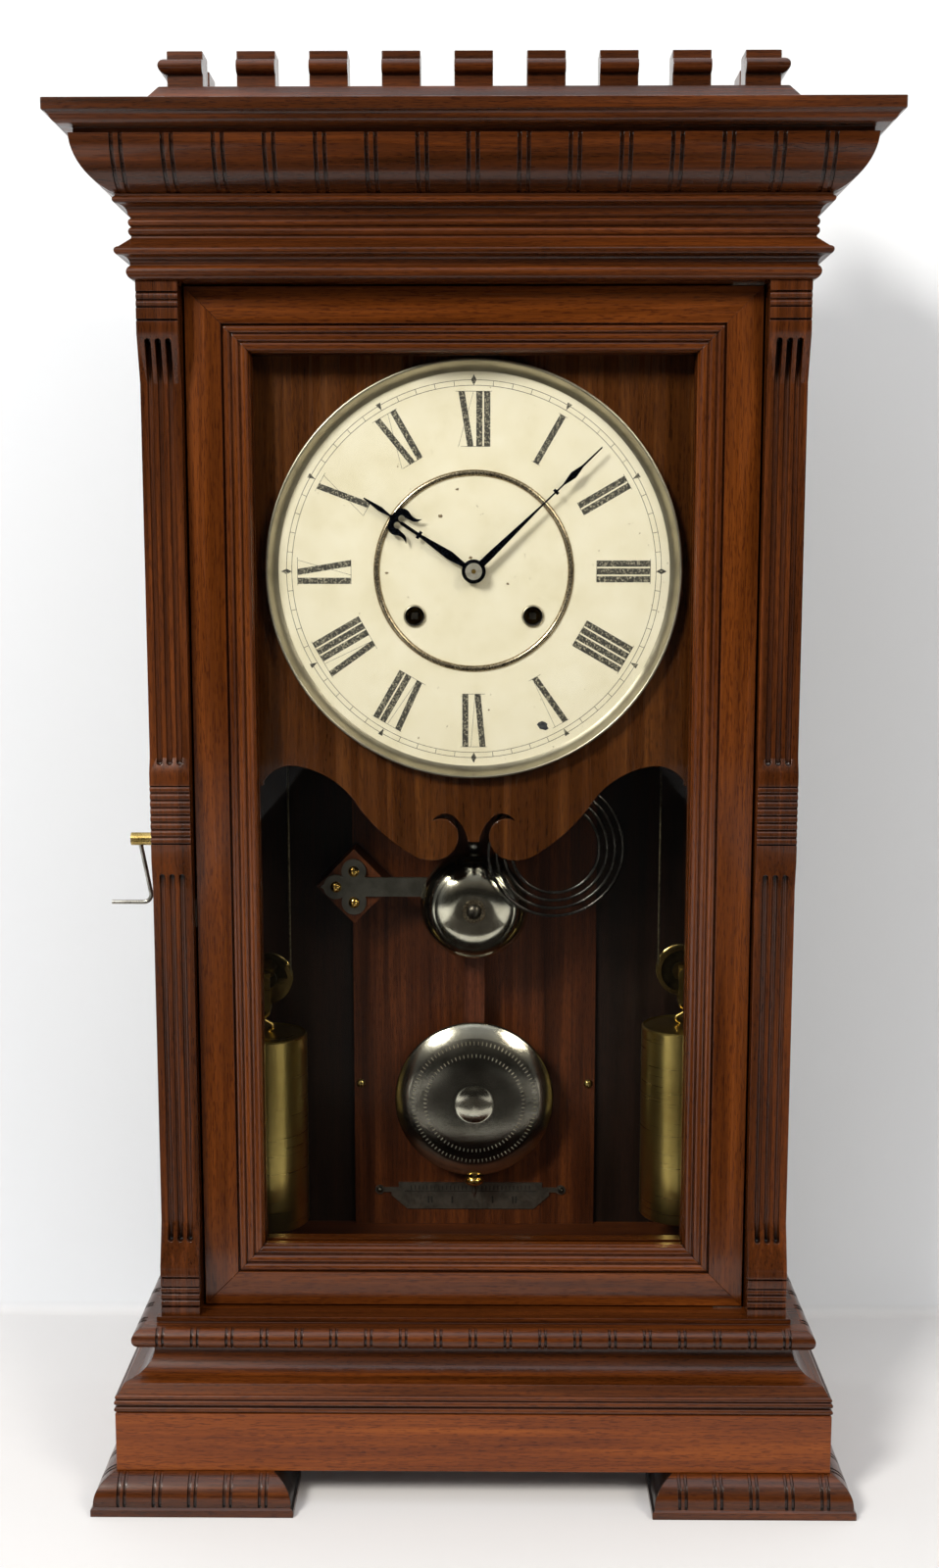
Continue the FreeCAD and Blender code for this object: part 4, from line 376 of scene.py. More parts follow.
# the finish of the CAD nodes: woodwork, hands and cables are copied further down and get theirs there
nodeFinish = {
    "case_boards": innerZ, "backboard": insideShadeZ, "pivot_hinges": steel, "case_fittings": brass,
    "door_glass": glass, "dial_plate": dialCream, "dial_bezel": nickel, "hour_wheel": clockBrass,
    "cannon_pinion": steel, "minute_wheel": clockBrass, "movement_plates": clockBrass,
    "movement_pillars": clockBrass, "time_great_wheel": clockBrass, "second_wheel": clockBrass,
    "centre_wheel": clockBrass, "third_wheel": clockBrass, "escape_wheel": clockBrass, "verge": steel,
    "strike_great_wheel": clockBrass, "strike_second_wheel": clockBrass, "pin_wheel": clockBrass,
    "warning_wheel": clockBrass, "fly": clockBrass, "time_drum": clockBrass, "strike_drum": clockBrass,
    "pendulum_rod": rodWood, "pendulum_bob": bobNickel, "rating_nut": brightBrass, "beat_scale": scaleSteel,
    "case_screws": brass, "bell": bellNickel, "bell_strap": strapSteel, "gong_coil": gongSteel,
    "gong_stand": blackIron, "gong_hammer": steel, "bell_hammer": steel, "weight_right": weightBrass,
    "weight_left": weightBrass, "weight_pulley_right": pulleyBrass, "weight_pulley_left": pulleyBrass,
    "top_pulley_right": brass, "top_pulley_left": brass, "pulley_brackets": brass, "cable_leads": cableGut,
    "winding_crank": steel,
}
for name, material in nodeFinish.items():
    nodes[name].data.materials.clear()
    nodes[name].data.materials.append(material)


# Each face takes the first material whose test its centre passes; None passes every face
def sortFaces(mesh, choices):
    mesh.materials.clear()
    for material, test in choices:
        mesh.materials.append(material)
    tests = [test for material, test in choices]
    for face in mesh.polygons:
        face.material_index = next(i for i, test in enumerate(tests) if test is None or test(face.center))


# Distance from an axis along Y through (x, z), or from its mirror image on the other side
def fromAxis(c, x, z):
    return math.hypot(abs(c.x) - x, c.z - z)


# where one finish of a node ends and the next begins, in metres
borders = {
    "boardIn": 0.1368, "boardOut": 0.1505, "floorTop": 0.0975, "ceilingUnder": 0.5935, "backboardY": 0.0645,
    "knobZ": 0.3195, "dialZ": 0.4602, "bezelR": 0.09, "ringR": 0.045, "eyelet": (0.0291, 0.4384),
    "eyeletShadeR": 0.0047, "pulley": (0.1096, 0.2508), "webFrom": 0.0045, "webTo": 0.0102, "stripZ": 0.5005,
    "threadZ": 0.1331, "squareY": -0.0084, "holeShadeY": 0.007, "nutY": -0.0145, "pipeY": -0.008, "plateX": -0.14,
}
# inside the case the side boards and the back beside its raised centre board are painted near black, as shade
sortFaces(nodes["case_boards"].data, [
    (innerX, lambda c: abs(c.x) < borders["boardIn"]
     and (c.z < borders["floorTop"] or c.z > borders["ceilingUnder"])),
    (walnutZ, lambda c: abs(c.x) > borders["boardOut"]), (insideShadeZ, None),
])
sortFaces(nodes["backboard"].data, [(innerZ, lambda c: c.y < borders["backboardY"]), (insideShadeZ, None)])
sortFaces(nodes["winding_crank"].data, [(brass, lambda c: c.z > borders["knobZ"]), (steel, None)])
# inside each winding eyelet the bore is painted black, as the shade in the hole
sortFaces(nodes["dial_bezel"].data, [
    (nickel, lambda c: fromAxis(c, 0, borders["dialZ"]) > borders["bezelR"]),
    (ringBrown, lambda c: fromAxis(c, 0, borders["dialZ"]) > borders["ringR"]),
    (blackIron, lambda c: fromAxis(c, *borders["eyelet"]) < borders["eyeletShadeR"]), (nickel, None),
])
for side in ("right", "left"):
    sortFaces(nodes["weight_pulley_" + side].data, [
        (pulleyDark, lambda c: borders["webFrom"] < fromAxis(c, *borders["pulley"]) < borders["webTo"]),
        (pulleyBrass, None),
    ])
sortFaces(nodes["pendulum_rod"].data, [
    (steel, lambda c: c.z > borders["stripZ"] or c.z < borders["threadZ"]), (rodWood, None),
])
# the arbor seen through the winding hole is painted near black, as the shade in the hole; only its square end
# keeps a browned steel
for name in ("time_drum", "strike_drum"):
    sortFaces(nodes[name].data, [
        (darkScrew, lambda c: c.y < borders["squareY"]), (blackIron, lambda c: c.y < borders["holeShadeY"]),
        (clockBrass, None),
    ])
sortFaces(nodes["cannon_pinion"].data, [
    (nutNickel, lambda c: c.y < borders["nutY"]), (darkScrew, lambda c: c.y < borders["pipeY"]),
    (steel, None),
])
sortFaces(nodes["case_fittings"].data, [(steel, lambda c: c.x > borders["plateX"]), (brass, None)])
print("nodes finished")

# angles in degrees, merge in millimetres; a corner is matched to a micrometre
softLook = {"segments": 2, "angle": 35, "weight": 100}
mergeLook = {"merge": 0.002, "flat": 0.6, "stepsPerMetre": 1e6}


def newObject(name, bm):
    mesh = bpy.data.meshes.new(name)
    bm.to_mesh(mesh)
    bm.free()
    made = bpy.data.objects.new(name, mesh)
    bpy.context.collection.objects.link(made)
    return made


# A piece gets sharp edges above smooth degrees, or every edge softened by a bevel of soften millimetres
def newPiece(name, bm, materials, body, stands=(), smooth=40, soften=None):
    if not soften:
        bmesh.ops.recalc_face_normals(bm, faces=bm.faces)
    piece = newObject(name, bm)
    mesh = piece.data
    for material in materials:
        mesh.materials.append(material)
    mesh.shade_smooth()
    if soften:
        soft = piece.modifiers.new("softened edges", "BEVEL")
        soft.width = soften * mm
        soft.segments = softLook["segments"]
        soft.limit_method = "ANGLE"
        soft.angle_limit = math.radians(softLook["angle"])
        soft.use_clamp_overlap = False
        even = piece.modifiers.new("even shading", "WEIGHTED_NORMAL")
        even.weight = softLook["weight"]
        even.keep_sharp = True
    else:
        mesh.set_sharp_from_angle(angle=math.radians(smooth))
    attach(piece, body)
    if stands:
        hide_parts(*stands)
    return piece


# A node's triangles lie solid after solid: one ends where every edge has met its other side
def solidRanges(mesh):
    corners = [tuple(round(value * mergeLook["stepsPerMetre"]) for value in vertex.co)
               for vertex in mesh.vertices]
    unmet = set()
    ranges = []
    start = 0
    for face in mesh.polygons:
        ring = [corners[index] for index in face.vertices]
        for a, b in zip(ring, ring[1:] + ring[:1]):
            if (b, a) in unmet:
                unmet.discard((b, a))
            else:
                unmet.add((a, b))
        if not unmet:
            ranges.append((start, face.index + 1))
            start = face.index + 1
    if start < len(mesh.polygons):
        ranges.append((start, len(mesh.polygons)))
    return ranges


# A copy of a CAD node with each solid's triangles merged, so that its edges can be softened
def copyOf(node):
    source = nodes[node].data
    whole = bmesh.new()
    for first, last in solidRanges(source):
        bm = bmesh.new()
        bm.from_mesh(source)
        bm.faces.ensure_lookup_table()
        others = [face for face in bm.faces if not first <= face.index < last]
        bmesh.ops.delete(bm, geom=others, context="FACES")
        bmesh.ops.remove_doubles(bm, verts=bm.verts, dist=mergeLook["merge"] * mm)
        bmesh.ops.dissolve_limit(bm, angle_limit=math.radians(mergeLook["flat"]), verts=bm.verts,
                                 edges=bm.edges)
        bmesh.ops.recalc_face_normals(bm, faces=bm.faces)
        part = bpy.data.meshes.new("solid")
        bm.to_mesh(part)
        bm.free()
        whole.from_mesh(part)
        bpy.data.meshes.remove(part)
    return whole


# where the grain turns, in metres: at the mitres of the mouldings and at those of the door
mitreLook = {"moulding": 0.1165, "doorHalf": 0.1359, "doorLow": 0.091, "doorHigh": 0.5929}


def frontOrSide(c):
    return abs(c.x) + c.y < mitreLook["moulding"]


def railOrStile(c):
    return min(c.z - mitreLook["doorLow"], mitreLook["doorHigh"] - c.z) < mitreLook["doorHalf"] - abs(c.x)


grooveLook = {"lean": 0.25, "largest": 80e-6, "nodes": ("cornice_ovolo", "base_board", "bracket_feet")}


# The walls of the carved notches look along the moulding and are small: largest is in square metres. They are
# painted near black, as shade in the notches with wax gathered there
def shadeNotches(mesh):
    mesh.materials.append(notchShadeX)
    for face in mesh.polygons:
        lean = face.normal.x if frontOrSide(face.center) else face.normal.y
        if abs(lean) > grooveLook["lean"] and face.area < grooveLook["largest"]:
            face.material_index = len(mesh.materials) - 1


# each piece of woodwork: the width of its softened edges in millimetres, and its grain
mouldingGrain = [(walnutX, frontOrSide), (walnutY, None)]
woodPieces = {
    "crest_gallery": (0.35, mouldingGrain), "cornice_top_board": (0.5, mouldingGrain),
    "cornice_ovolo": (0.2, mouldingGrain), "neck_moulding": (0.2, mouldingGrain),
    "base_board": (0.2, mouldingGrain), "base_cove": (0.2, mouldingGrain),
    "plinth": (0.4, [(plinthX, frontOrSide), (plinthY, None)]), "bracket_feet": (0.25, mouldingGrain),
    "pilasters": (0.2, [(walnutZ, None)]), "door_frame": (0.25, [(doorX, railOrStile), (doorZ, None)]),
    "dial_panel": (0.4, [(panelZ, None)]),
}
for node, (width, grain) in woodPieces.items():
    body = "door" if node == "door_frame" else "case"
    slotName = "walnut_door" if node in ("door_frame", "dial_panel") else "walnut_mouldings"
    piece = newPiece(node + "_polished", copyOf(node), [], body, [node], soften=width)
    sortFaces(piece.data, grain)
    if node in grooveLook["nodes"]:
        shadeNotches(piece.data)
print("woodwork softened")

handLook = {"soften": 0.12}
for node in ("hour_hand", "minute_hand"):
    newPiece(node + "_blued", copyOf(node), [bluedSteel], node, [node],
             soften=handLook["soften"])


# A flat closed plate from corners (x, z) in millimetres, its front at y
def addPlate(bm, corners, y, thick):
    ring = [bm.verts.new((x * mm, y * mm, z * mm)) for x, z in corners]
    face = bm.faces.new(ring)
    grown = bmesh.ops.extrude_face_region(bm, geom=[face])
    moved = [item for item in grown["geom"] if isinstance(item, bmesh.types.BMVert)]
    bmesh.ops.translate(bm, verts=moved, vec=(0, thick * mm, 0))


# A closed profile of (radius, y) turned about an axis along Y through (x, z), all in millimetres
def addTurned(bm, profile, x, z, steps):
    ring = [bm.verts.new(((x + r) * mm, y * mm, z * mm)) for r, y in profile]
    sides = [bm.edges.new((a, b)) for a, b in zip(ring, ring[1:] + ring[:1])]
    bmesh.ops.spin(bm, geom=ring + sides, cent=(x * mm, 0, z * mm), axis=(0, 1, 0), angle=2 * math.pi,
                   steps=steps, use_merge=True)


def boxCorners(left, right, low, high):
    return [(left, low), (right, low), (right, high), (left, high)]


# the dial's print, laid on the paint, in millimetres: letters stand between the circles low and high
dialLook = {
    "z": 460.2, "front": -7.8, "ink": 0.05, "low": 60.2, "high": 86.7, "thick": 3.0, "hair": 0.18,
    "pitch": 3.8, "wideV": 6.6, "wideX": 7.4, "air": 0.6, "thinFrom": 0.8, "thinLift": 0.2,
    "serif": 0.22, "over": 0.8, "trackOut": 92.0, "trackIn": 89.4, "line": 0.28, "trackSteps": 180,
    "diamond": (1.35, 2.65), "wedge": (1.25, 2.6, 1.1), "overTrack": 1.5,
}
# from twelve o'clock on: each numeral, and its lower bar's width as a share of its upper bar's
numerals = {
    "XII": 0.72, "I": 1, "II": 0.86, "III": 0.86, "IIII": 0.86, "V": 0.72,
    "VI": 0.86, "VII": 0.86, "VIII": 0.86, "IX": 0.72, "X": 0.72, "XI": 0.72,
}


# Corners (u, v) across and along a spoke of the dial, v from the circle start, to corners (x, z)
def onDial(turn, points, start=0):
    corners = []
    for u, v in points:
        out = start + v
        corners.append((out * math.sin(turn) + u * math.cos(turn),
                        dialLook["z"] + out * math.cos(turn) - u * math.sin(turn)))
    return corners


def printNumerals():
    look = dialLook
    high = look["high"] - look["low"]
    thick, serif = look["thick"], look["serif"]
    half = thick / 2
    widths = {"I": look["pitch"], "V": look["wideV"] + thick * look["air"],
              "X": look["wideX"] + thick * look["air"]}
    bm = bmesh.new()
    for hour, (text, foot) in enumerate(numerals.items()):
        turn = math.radians(hour * 30)

        def ink(corners):
            addPlate(bm, onDial(turn, corners, look["low"]), look["front"] - look["ink"], look["ink"])

        def stroke(u0, v0, u1, v1, wide):
            ink([(u0 - wide / 2, v0), (u0 + wide / 2, v0), (u1 + wide / 2, v1), (u1 - wide / 2, v1)])

        total = sum(widths[letter] for letter in text)
        u = -total / 2
        for letter in text:
            middle = u + widths[letter] / 2
            if letter == "I":
                stroke(middle, 0, middle, high, thick)
            elif letter == "V":
                reach = look["wideV"] / 2
                stroke(middle, 0, middle - reach + half / 2, high, thick)
                stroke(middle + half * look["thinFrom"], look["thinLift"], middle + reach, high, look["hair"])
            else:
                reach = look["wideX"] / 2
                stroke(middle + reach - half, 0, middle - reach + half, high, thick)
                stroke(middle - reach, 0, middle + reach, high, look["hair"])
            u += widths[letter]
        # hairline bars along the top and the bottom of the numeral
        span = total / 2 - look["pitch"] / 2 + half + look["over"]
        for v, reach in ((high - serif / 2, span), (serif / 2, span * foot)):
            ink(boxCorners(-reach, reach, v - serif / 2, v + serif / 2))
    return bm


# Two hairline circles with a line between them at each minute
def printTrack():
    look = dialLook
    y = look["front"] - look["ink"]
    half = look["line"] / 2
    bm = bmesh.new()
    for radius in (look["trackOut"], look["trackIn"]):
        addTurned(bm, boxCorners(radius - half, radius + half, y, y + look["ink"]), 0, look["z"],
                  look["trackSteps"])
    for minute in range(60):
        line = boxCorners(-half, half, look["trackIn"], look["trackOut"])
        addPlate(bm, onDial(math.radians(minute * 6), line), y, look["ink"])
    return bm


# A diamond on the track at each quarter, a wedge at each hour between
def printMarks():
    look = dialLook
    y = look["front"] - look["ink"] * look["overTrack"]
    middle = look["trackOut"]
    bm = bmesh.new()
    for hour in range(12):
        if hour % 3 == 0:
            side, tip = look["diamond"]
            shape = [(0, middle - tip), (side, middle), (0, middle + tip), (-side, middle)]
        else:
            side, tip, top = look["wedge"]
            shape = [(0, middle - tip), (side, middle + top), (-side, middle + top)]
        addPlate(bm, onDial(math.radians(hour * 30), shape), y, look["ink"])
    return bm


newPiece("dial_numerals", printNumerals(), [numeralInk], "case")
newPiece("dial_track", printTrack(), [trackInk], "case")
newPiece("dial_marks", printMarks(), [numeralInk], "case")

# chips in the paint: uneven little patches, each (x, z, size) in millimetres
chipLook = {"corners": 11, "least": 0.62, "most": 1.15, "wide": 1.15, "high": 0.85, "thick": 0.06}
chips = {
    "brown": (chipBrown, [
        (-16.3, 487, 2.6), (-8, 500, 1.6), (-42.8, 459.5, 1.7), (16.7, 454.2, 1.5), (-1.5, 466.8, 1.8),
        (7.5, 392, 1.0), (-52, 424, 0.9), (61, 497, 0.9),
    ]),
    "dark": (chipDark, [(34.4, 384.1, 5.2)]),
}
random.seed(7)
for tone, (material, spots) in chips.items():
    bm = bmesh.new()
    for x, z, size in spots:
        corners = []
        for index in range(chipLook["corners"]):
            turn = index * 2 * math.pi / chipLook["corners"]
            reach = size / 2 * random.uniform(chipLook["least"], chipLook["most"])
            corners.append((x + reach * math.cos(turn) * chipLook["wide"],
                            z + reach * math.sin(turn) * chipLook["high"]))
        addPlate(bm, corners, dialLook["front"] - chipLook["thick"], chipLook["thick"])
    newPiece("dial_chips_" + tone, bm, [material], "case")
print("dial printed")

# screws with their slots cut: slotLong is in radii of the head, the rest in millimetres
screwLook = {"slotWide": 0.7, "slotDeep": 0.9, "slotLong": 2.4, "steps": 40, "domeSteps": 8, "pole": 0.02}
# x, z, radius, y of the face under the head, height, slot angle
screwPieces = {
    "strap_screws": (brightBrass, "brass", [
        (-64.0, 301.8, 3.0, 38.0, 1.6, 78),
        (-73.6, 293.4, 3.0, 38.0, 1.6, 38),
        (-64.0, 285.0, 3.0, 38.0, 1.6, 96),
    ]),
    "board_screws": (brass, "brass", [
        (-63.0, 178.0, 2.6, 62.0, 1.6, 20),
        (63.0, 178.0, 2.6, 62.0, 1.6, 70),
    ]),
    "scale_screws": (darkScrew, "steel", [
        (-52.8, 116.8, 1.7, 61.2, 1.6, 15),
        (48.2, 116.8, 1.7, 61.2, 1.6, 60),
    ]),
    "bell_screw": (darkScrew, "steel", [(0.0, 285.0, 4.0, 14.8, 2.0, 48)]),
}
washerLook = {
    "z": 285.0, "steps": 48, "profile": [(2.0, 14.8), (5.7, 14.8), (6.0, 15.1), (6.0, 16.0), (2.0, 16.0)],
}


def domeProfile(radius, y, rise):
    steps, pole = screwLook["domeSteps"], screwLook["pole"]
    ball = (radius ** 2 + rise ** 2) / (2 * rise)
    points = [(pole, y)]
    for index in range(steps + 1):
        r = radius * (1 - index / steps)
        points.append((max(r, pole), y - rise + ball - math.sqrt(ball ** 2 - r ** 2)))
    return points


def slotted(name, screws, material):
    look = screwLook
    heads = bmesh.new()
    cutters = bmesh.new()
    for x, z, radius, y, rise, angle in screws:
        addTurned(heads, domeProfile(radius, y, rise), x, z, look["steps"])
        grown = bmesh.ops.create_cube(cutters, size=1)
        turn = Matrix.Rotation(math.radians(angle), 4, "Y")
        long = radius * look["slotLong"]
        size = Matrix.Diagonal((long * mm, look["slotDeep"] * mm, look["slotWide"] * mm, 1))
        place = Matrix.Translation((x * mm, (y - rise) * mm, z * mm))
        bmesh.ops.transform(cutters, matrix=place @ turn @ size, verts=grown["verts"])
    parts = []
    for label, bm in (("heads", heads), ("cutters", cutters)):
        bmesh.ops.recalc_face_normals(bm, faces=bm.faces)
        parts.append(newObject(label, bm))
    cut = parts[0].modifiers.new("slots", "BOOLEAN")
    cut.operation = "DIFFERENCE"
    cut.solver = "EXACT"
    cut.object = parts[1]
    bpy.context.view_layer.update()
    result = bmesh.new()
    result.from_mesh(parts[0].evaluated_get(bpy.context.evaluated_depsgraph_get()).to_mesh())
    for part in parts:
        bpy.data.objects.remove(part)
    return newPiece(name, result, [material], "case", ["case_screws"], smooth=35)


for name, (material, slotName, screws) in screwPieces.items():
    slotted(name, screws, material)
bm = bmesh.new()
addTurned(bm, washerLook["profile"], 0, washerLook["z"], washerLook["steps"])
newPiece("bell_washer", bm, [ringBrown], "case", ["case_screws"])
print("screws slotted")

# The bob as it shows: a spun dome with two rings of short ridges rolled into it. In millimetres: boss and
# rim are parts of its outline as (radius, y), a ring is (radius, count of ridges, their length)
bobLook = {
    "z": 173.9, "crown": 38.0, "square": 0.0012, "fourth": 1.9e-6, "hub": 10.5, "faceSteps": 32,
    "boss": [(0.02, 36.6), (3.5, 36.8), (5.3, 37.0), (7.1, 37.3), (8.8, 37.7), (9.8, 38.0)],
    "rim": [(42.2, 46.2), (42.9, 46.6), (43.2, 47.2), (42.9, 47.8), (42.2, 48.2), (0.02, 48.2)],
    "steps": 120, "darkFaceTo": 35.0, "rings": ((33.1, 92, 2.4), (26.6, 74, 2.2)), "ridgeShare": 0.42,
    "crest": (-0.26, 0.3), "sink": 0.5, "rise": 0.55,
}


def domeFront(radius):
    return bobLook["crown"] + bobLook["square"] * radius ** 2 + bobLook["fourth"] * radius ** 4


def spunBob():
    bm = bmesh.new()
    radii = [bobLook["hub"] + step for step in range(bobLook["faceSteps"])]
    face = [(radius, domeFront(radius)) for radius in radii]
    addTurned(bm, bobLook["boss"] + face + bobLook["rim"], 0, bobLook["z"], bobLook["steps"])
    return bm


def knurl():
    look = bobLook
    bm = bmesh.new()
    for radius, count, long in look["rings"]:
        half = math.pi * radius / count * look["ridgeShare"]
        # one ridge: four corners under the face, then the two ends of its crest above it
        corners = []
        for share, side in ((-0.5, -half), (-0.5, half), (0.5, half), (0.5, -half)):
            corners.append((radius + share * long, domeFront(radius + share * long) + look["sink"], side))
        for share in look["crest"]:
            corners.append((radius + share * long, domeFront(radius + share * long) - look["rise"], 0))
        for index in range(count):
            verts = [bm.verts.new([value * mm for value in corner]) for corner in corners]
            for ring in ((0, 1, 2, 3), (0, 1, 4), (2, 3, 5), (1, 2, 5, 4), (3, 0, 4, 5)):
                bm.faces.new([verts[i] for i in ring])
            turn = Matrix.Rotation(index * 2 * math.pi / count, 4, "Y")
            bmesh.ops.transform(bm, matrix=Matrix.Translation((0, 0, look["z"] * mm)) @ turn, verts=verts)
    return bm


bob = newPiece("pendulum_bob_spun", spunBob(), [bobFaceDarkReflection], "pendulum", ["pendulum_bob"])
# inside the ridges the face is painted dark, as the reflection of the dark room
sortFaces(bob.data, [
    (bobFaceDarkReflection, lambda c: bobLook["hub"] * mm < fromAxis(c, 0, bobLook["z"] * mm) < bobLook["darkFaceTo"] * mm),
    (bobNickel, None),
])
newPiece("bob_knurling", knurl(), [bobRidgeHighlight], "pendulum", ["pendulum_bob"], smooth=20)

# marks on the beat scale in millimetres: a few strokes, and a bar with a row of short ticks on it above them
scaleLook = {
    "front": 61.2, "ink": 0.06, "strokes": (-25.6, -23.8, -12.4, 10.2, 21.4, 23.2), "strokeWide": 0.9,
    "strokeLow": 109.2, "strokeHigh": 113.2, "x": -2.3, "ticksAside": 15, "pitch": 2.2, "tickWide": 0.5,
    "tickLow": 116.8, "tickHigh": 119.4, "bar": (-39.0, 34.4, 115.9, 116.3),
}


def printScale():
    look = scaleLook
    marks = []
    for x in look["strokes"]:
        marks.append(boxCorners(x - look["strokeWide"] / 2, x + look["strokeWide"] / 2,
                                look["strokeLow"], look["strokeHigh"]))
    for index in range(-look["ticksAside"], look["ticksAside"] + 1):
        x = look["x"] + index * look["pitch"]
        marks.append(boxCorners(x - look["tickWide"] / 2, x + look["tickWide"] / 2,
                                look["tickLow"], look["tickHigh"]))
    marks.append(boxCorners(*look["bar"]))
    bm = bmesh.new()
    for corners in marks:
        addPlate(bm, corners, look["front"] - look["ink"], look["ink"])
    return bm


newPiece("beat_scale_marks", printScale(), [scaleInk], "case")
print("bob and scale detailed")

# In the clock a cable's fall shortens as its weight rises; here each cable is only copied with its doubles
# merged. The table gives each one's joint, its x and the share of it that is left when the weight is at the
# top
cableFalls = {"right": ("weight_right_rise", 0.1096, 0.168), "left": ("weight_left_rise", -0.1096, 0.18)}
for side, (joint, x, keep) in cableFalls.items():
    node = "cable_" + side
    bm = bmesh.new()
    bm.from_mesh(nodes[node].data)
    bmesh.ops.remove_doubles(bm, verts=bm.verts, dist=mergeLook["merge"] * mm)
    piece = newPiece(node + "_strand", bm, [cableGut], "case", [node])
    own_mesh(piece)
print("cables hung")

# room, light and camera, in metres
roomLook = {
    "wallY": 0.155, "half": 3.0, "height": 2.4, "corner": 0.006, "cornerSteps": 8, "floor": "#D6D6D7",
    "wall": "#E6EAEF", "tableEnd": -0.3, "tableHalf": 0.4, "beyond": "#26221F",
}


# matt emulsion: even and pale, nearly without a shine
def roomPaint(name):
    look = roomLook
    material, tree, shader, place = newFinish(name, {"Roughness": 0.8, "Specular IOR Level": 0.2})
    height = addNode(tree, "ShaderNodeSeparateXYZ", {"Vector": place})
    tone = addNode(tree, "ShaderNodeValToRGB", {"Fac": height.outputs["Z"]}, stops=[
        (0.0, look["floor"]), (look["corner"], look["wall"]),
    ])
    # the floor past where a studio table would end is painted dark for all but camera rays: painted shade
    # that the clock reflects and that cuts the bounce light, while the camera sees the floor pale
    path = addNode(tree, "ShaderNodeLightPath")
    past = addNode(tree, "ShaderNodeMath", {
        0: height.outputs["Y"], 1: look["tableEnd"],
    }, operation="LESS_THAN")
    off = addNode(tree, "ShaderNodeMath", {0: height.outputs["X"]}, operation="ABSOLUTE")
    near = addNode(tree, "ShaderNodeMath", {0: off.outputs[0], 1: look["tableHalf"]}, operation="LESS_THAN")
    both = addNode(tree, "ShaderNodeMath", {0: past.outputs[0], 1: near.outputs[0]}, operation="MULTIPLY")
    unseen = addNode(tree, "ShaderNodeMath", {0: 1, 1: path.outputs["Is Camera Ray"]}, operation="SUBTRACT")
    both = addNode(tree, "ShaderNodeMath", {0: both.outputs[0], 1: unseen.outputs[0]}, operation="MULTIPLY")
    seen = addNode(tree, "ShaderNodeMix", {
        0: both.outputs[0], 6: tone.outputs["Color"], 7: look["beyond"],
    }, data_type="RGBA")
    setInputs(tree, shader, {"Base Color": seen.outputs[2]})
    # from behind the wall the camera looks through it
    side = addNode(tree, "ShaderNodeNewGeometry")
    through = addNode(tree, "ShaderNodeMath", {
        0: side.outputs["Backfacing"], 1: path.outputs["Is Camera Ray"],
    }, operation="MULTIPLY")
    clear = addNode(tree, "ShaderNodeBsdfTransparent")
    both = addNode(tree, "ShaderNodeMixShader", {
        0: through.outputs[0], 1: shader.outputs[0], 2: clear.outputs[0],
    })
    tree.links.new(both.outputs[0], tree.nodes["Material Output"].inputs["Surface"])
    return material


# Floor and wall in one sheet, with a small round corner between them
def addRoom():
    look = roomLook
    bm = bmesh.new()
    points = [(-look["half"], 0.0)]
    for index in range(look["cornerSteps"] + 1):
        turn = index / look["cornerSteps"] * math.pi / 2
        points.append((look["wallY"] - look["corner"] + look["corner"] * math.sin(turn),
                       look["corner"] - look["corner"] * math.cos(turn)))
    points.append((look["wallY"], look["height"]))
    line = [bm.verts.new((-look["half"], y, z)) for y, z in points]
    edges = [bm.edges.new(pair) for pair in zip(line, line[1:])]
    grown = bmesh.ops.extrude_edge_only(bm, edges=edges)
    moved = [item for item in grown["geom"] if isinstance(item, bmesh.types.BMVert)]
    bmesh.ops.translate(bm, verts=moved, vec=(2 * look["half"], 0, 0))
    bm.normal_update()
    bm.faces.ensure_lookup_table()
    if bm.faces[0].normal.z < 0:
        bmesh.ops.reverse_faces(bm, faces=bm.faces)
    room = newObject("room", bm)
    room.data.shade_smooth()
    room.data.materials.append(roomPaint("matt painted room"))


addRoom()

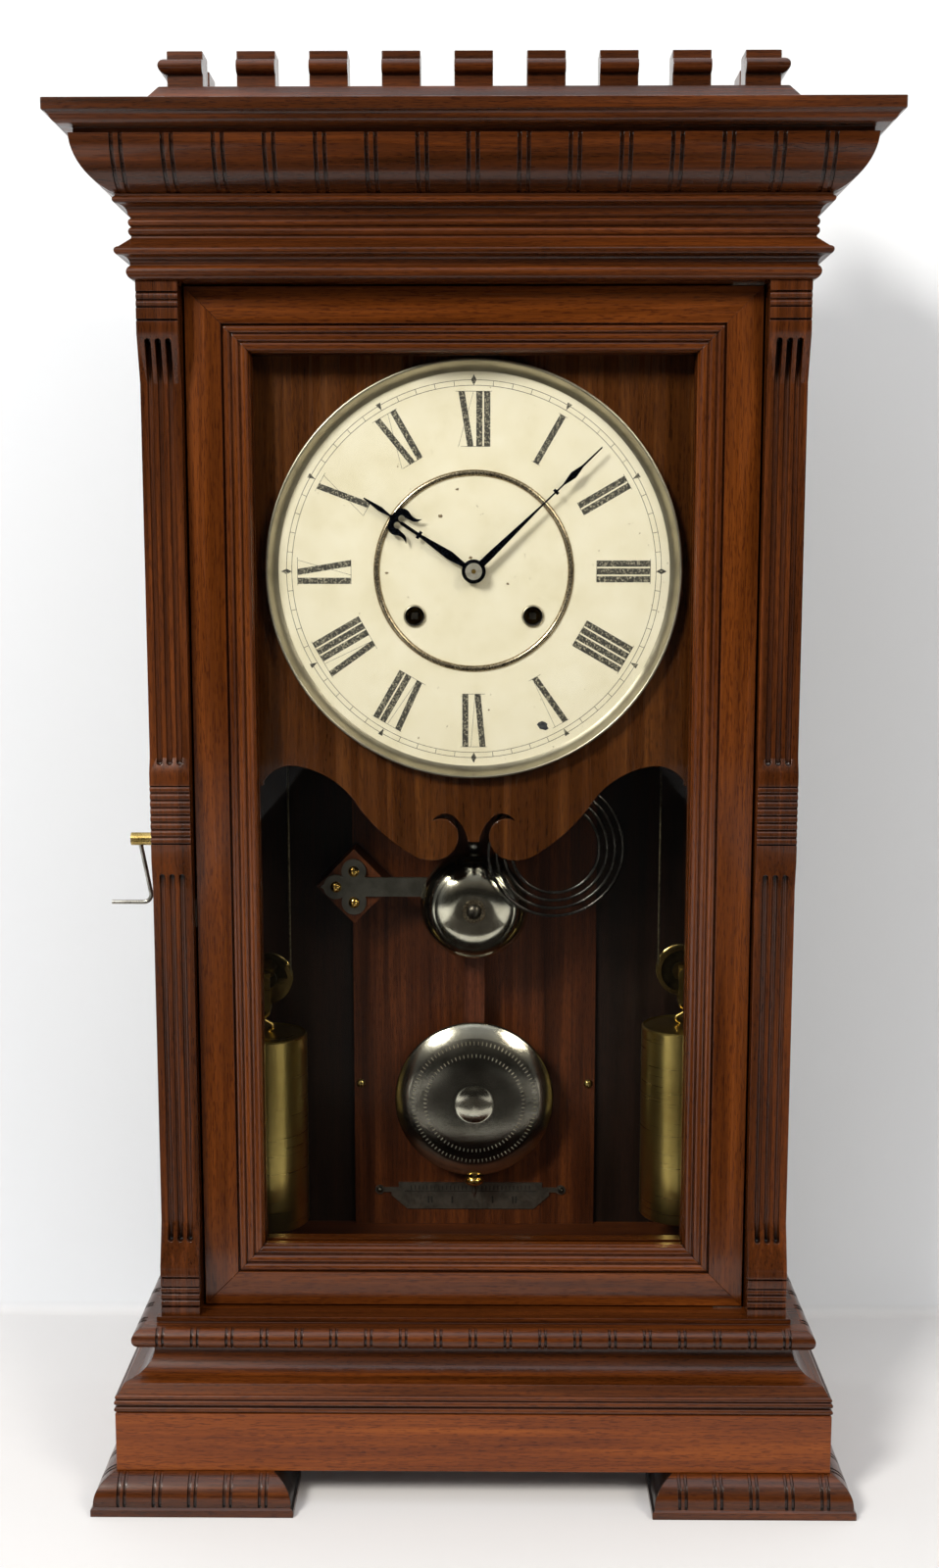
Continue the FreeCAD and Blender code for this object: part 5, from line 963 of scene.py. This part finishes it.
# place, target, size in metres, power in watts and colour of each lamp
lamps = {
    "key, left front": ((-1.1, -1.5, 1.55), (0, 0, 0.35), (0.5, 0.5), 46, "#FFFAF2"),
    "fill, right front": ((1.3, -1.5, 1.5), (0, 0, 0.3), (0.7, 0.7), 21, "#FFF6E8"),
    "ceiling": ((0.0, -0.7, 2.3), (0, 0.0, 0.2), (2.2, 1.6), 15, "#F6F8FF"),
}
for name, (place, target, size, power, colour) in lamps.items():
    light = bpy.data.lights.new(name, "AREA")
    light.shape = "RECTANGLE"
    light.size, light.size_y = size
    light.energy = power
    light.color = linear(colour)[:3]
    lamp = bpy.data.objects.new(name, light)
    bpy.context.collection.objects.link(lamp)
    lamp.location = place
    lamp.rotation_euler = (Vector(target) - Vector(place)).to_track_quat("-Z", "Y").to_euler()

# light from all round: bright, but in front, where the camera stands, dark low down and bright only above
worldLook = {
    "low": (0.15, "#24211E"), "high": (0.75, "#DCDDE0"), "middle": (0.38, "#8C867E"),
    "round": "#D3D6DB", "frontTo": -0.8, "roundFrom": -0.35, "strength": 0.5,
}
world = bpy.data.worlds.new("room light")
bpy.context.scene.world = world
world.use_nodes = True
tree = world.node_tree
heading = addNode(tree, "ShaderNodeTexCoord").outputs["Generated"]
parts = addNode(tree, "ShaderNodeSeparateXYZ", {"Vector": heading})
front = addNode(tree, "ShaderNodeValToRGB", {"Fac": parts.outputs["Z"]}, stops=[
    worldLook["low"], worldLook["high"], worldLook["middle"],
])
away = addNode(tree, "ShaderNodeMapRange", {
    "Value": parts.outputs["Y"], "From Min": worldLook["frontTo"], "From Max": worldLook["roundFrom"],
    "To Min": 0, "To Max": 1,
})
tone = addNode(tree, "ShaderNodeMix", {
    0: away.outputs[0], 6: front.outputs["Color"], 7: worldLook["round"],
}, data_type="RGBA")
setInputs(tree, tree.nodes["Background"], {"Color": tone.outputs[2], "Strength": worldLook["strength"]})

cameraLook = {
    "place": (0.0056, -0.840, 0.4664), "turn": (82.37, 0.0, 0.53), "lens": 38.61, "sensor": 36, "near": 0.01,
}
camera = bpy.data.objects.new("camera", bpy.data.cameras.new("camera"))
bpy.context.collection.objects.link(camera)
camera.location = cameraLook["place"]
camera.rotation_euler = [math.radians(value) for value in cameraLook["turn"]]
camera.data.lens = cameraLook["lens"]
camera.data.sensor_width = cameraLook["sensor"]
camera.data.clip_start = cameraLook["near"]
bpy.context.scene.camera = camera
bpy.context.scene.view_settings.view_transform = "Standard"
print("room, light and camera set")
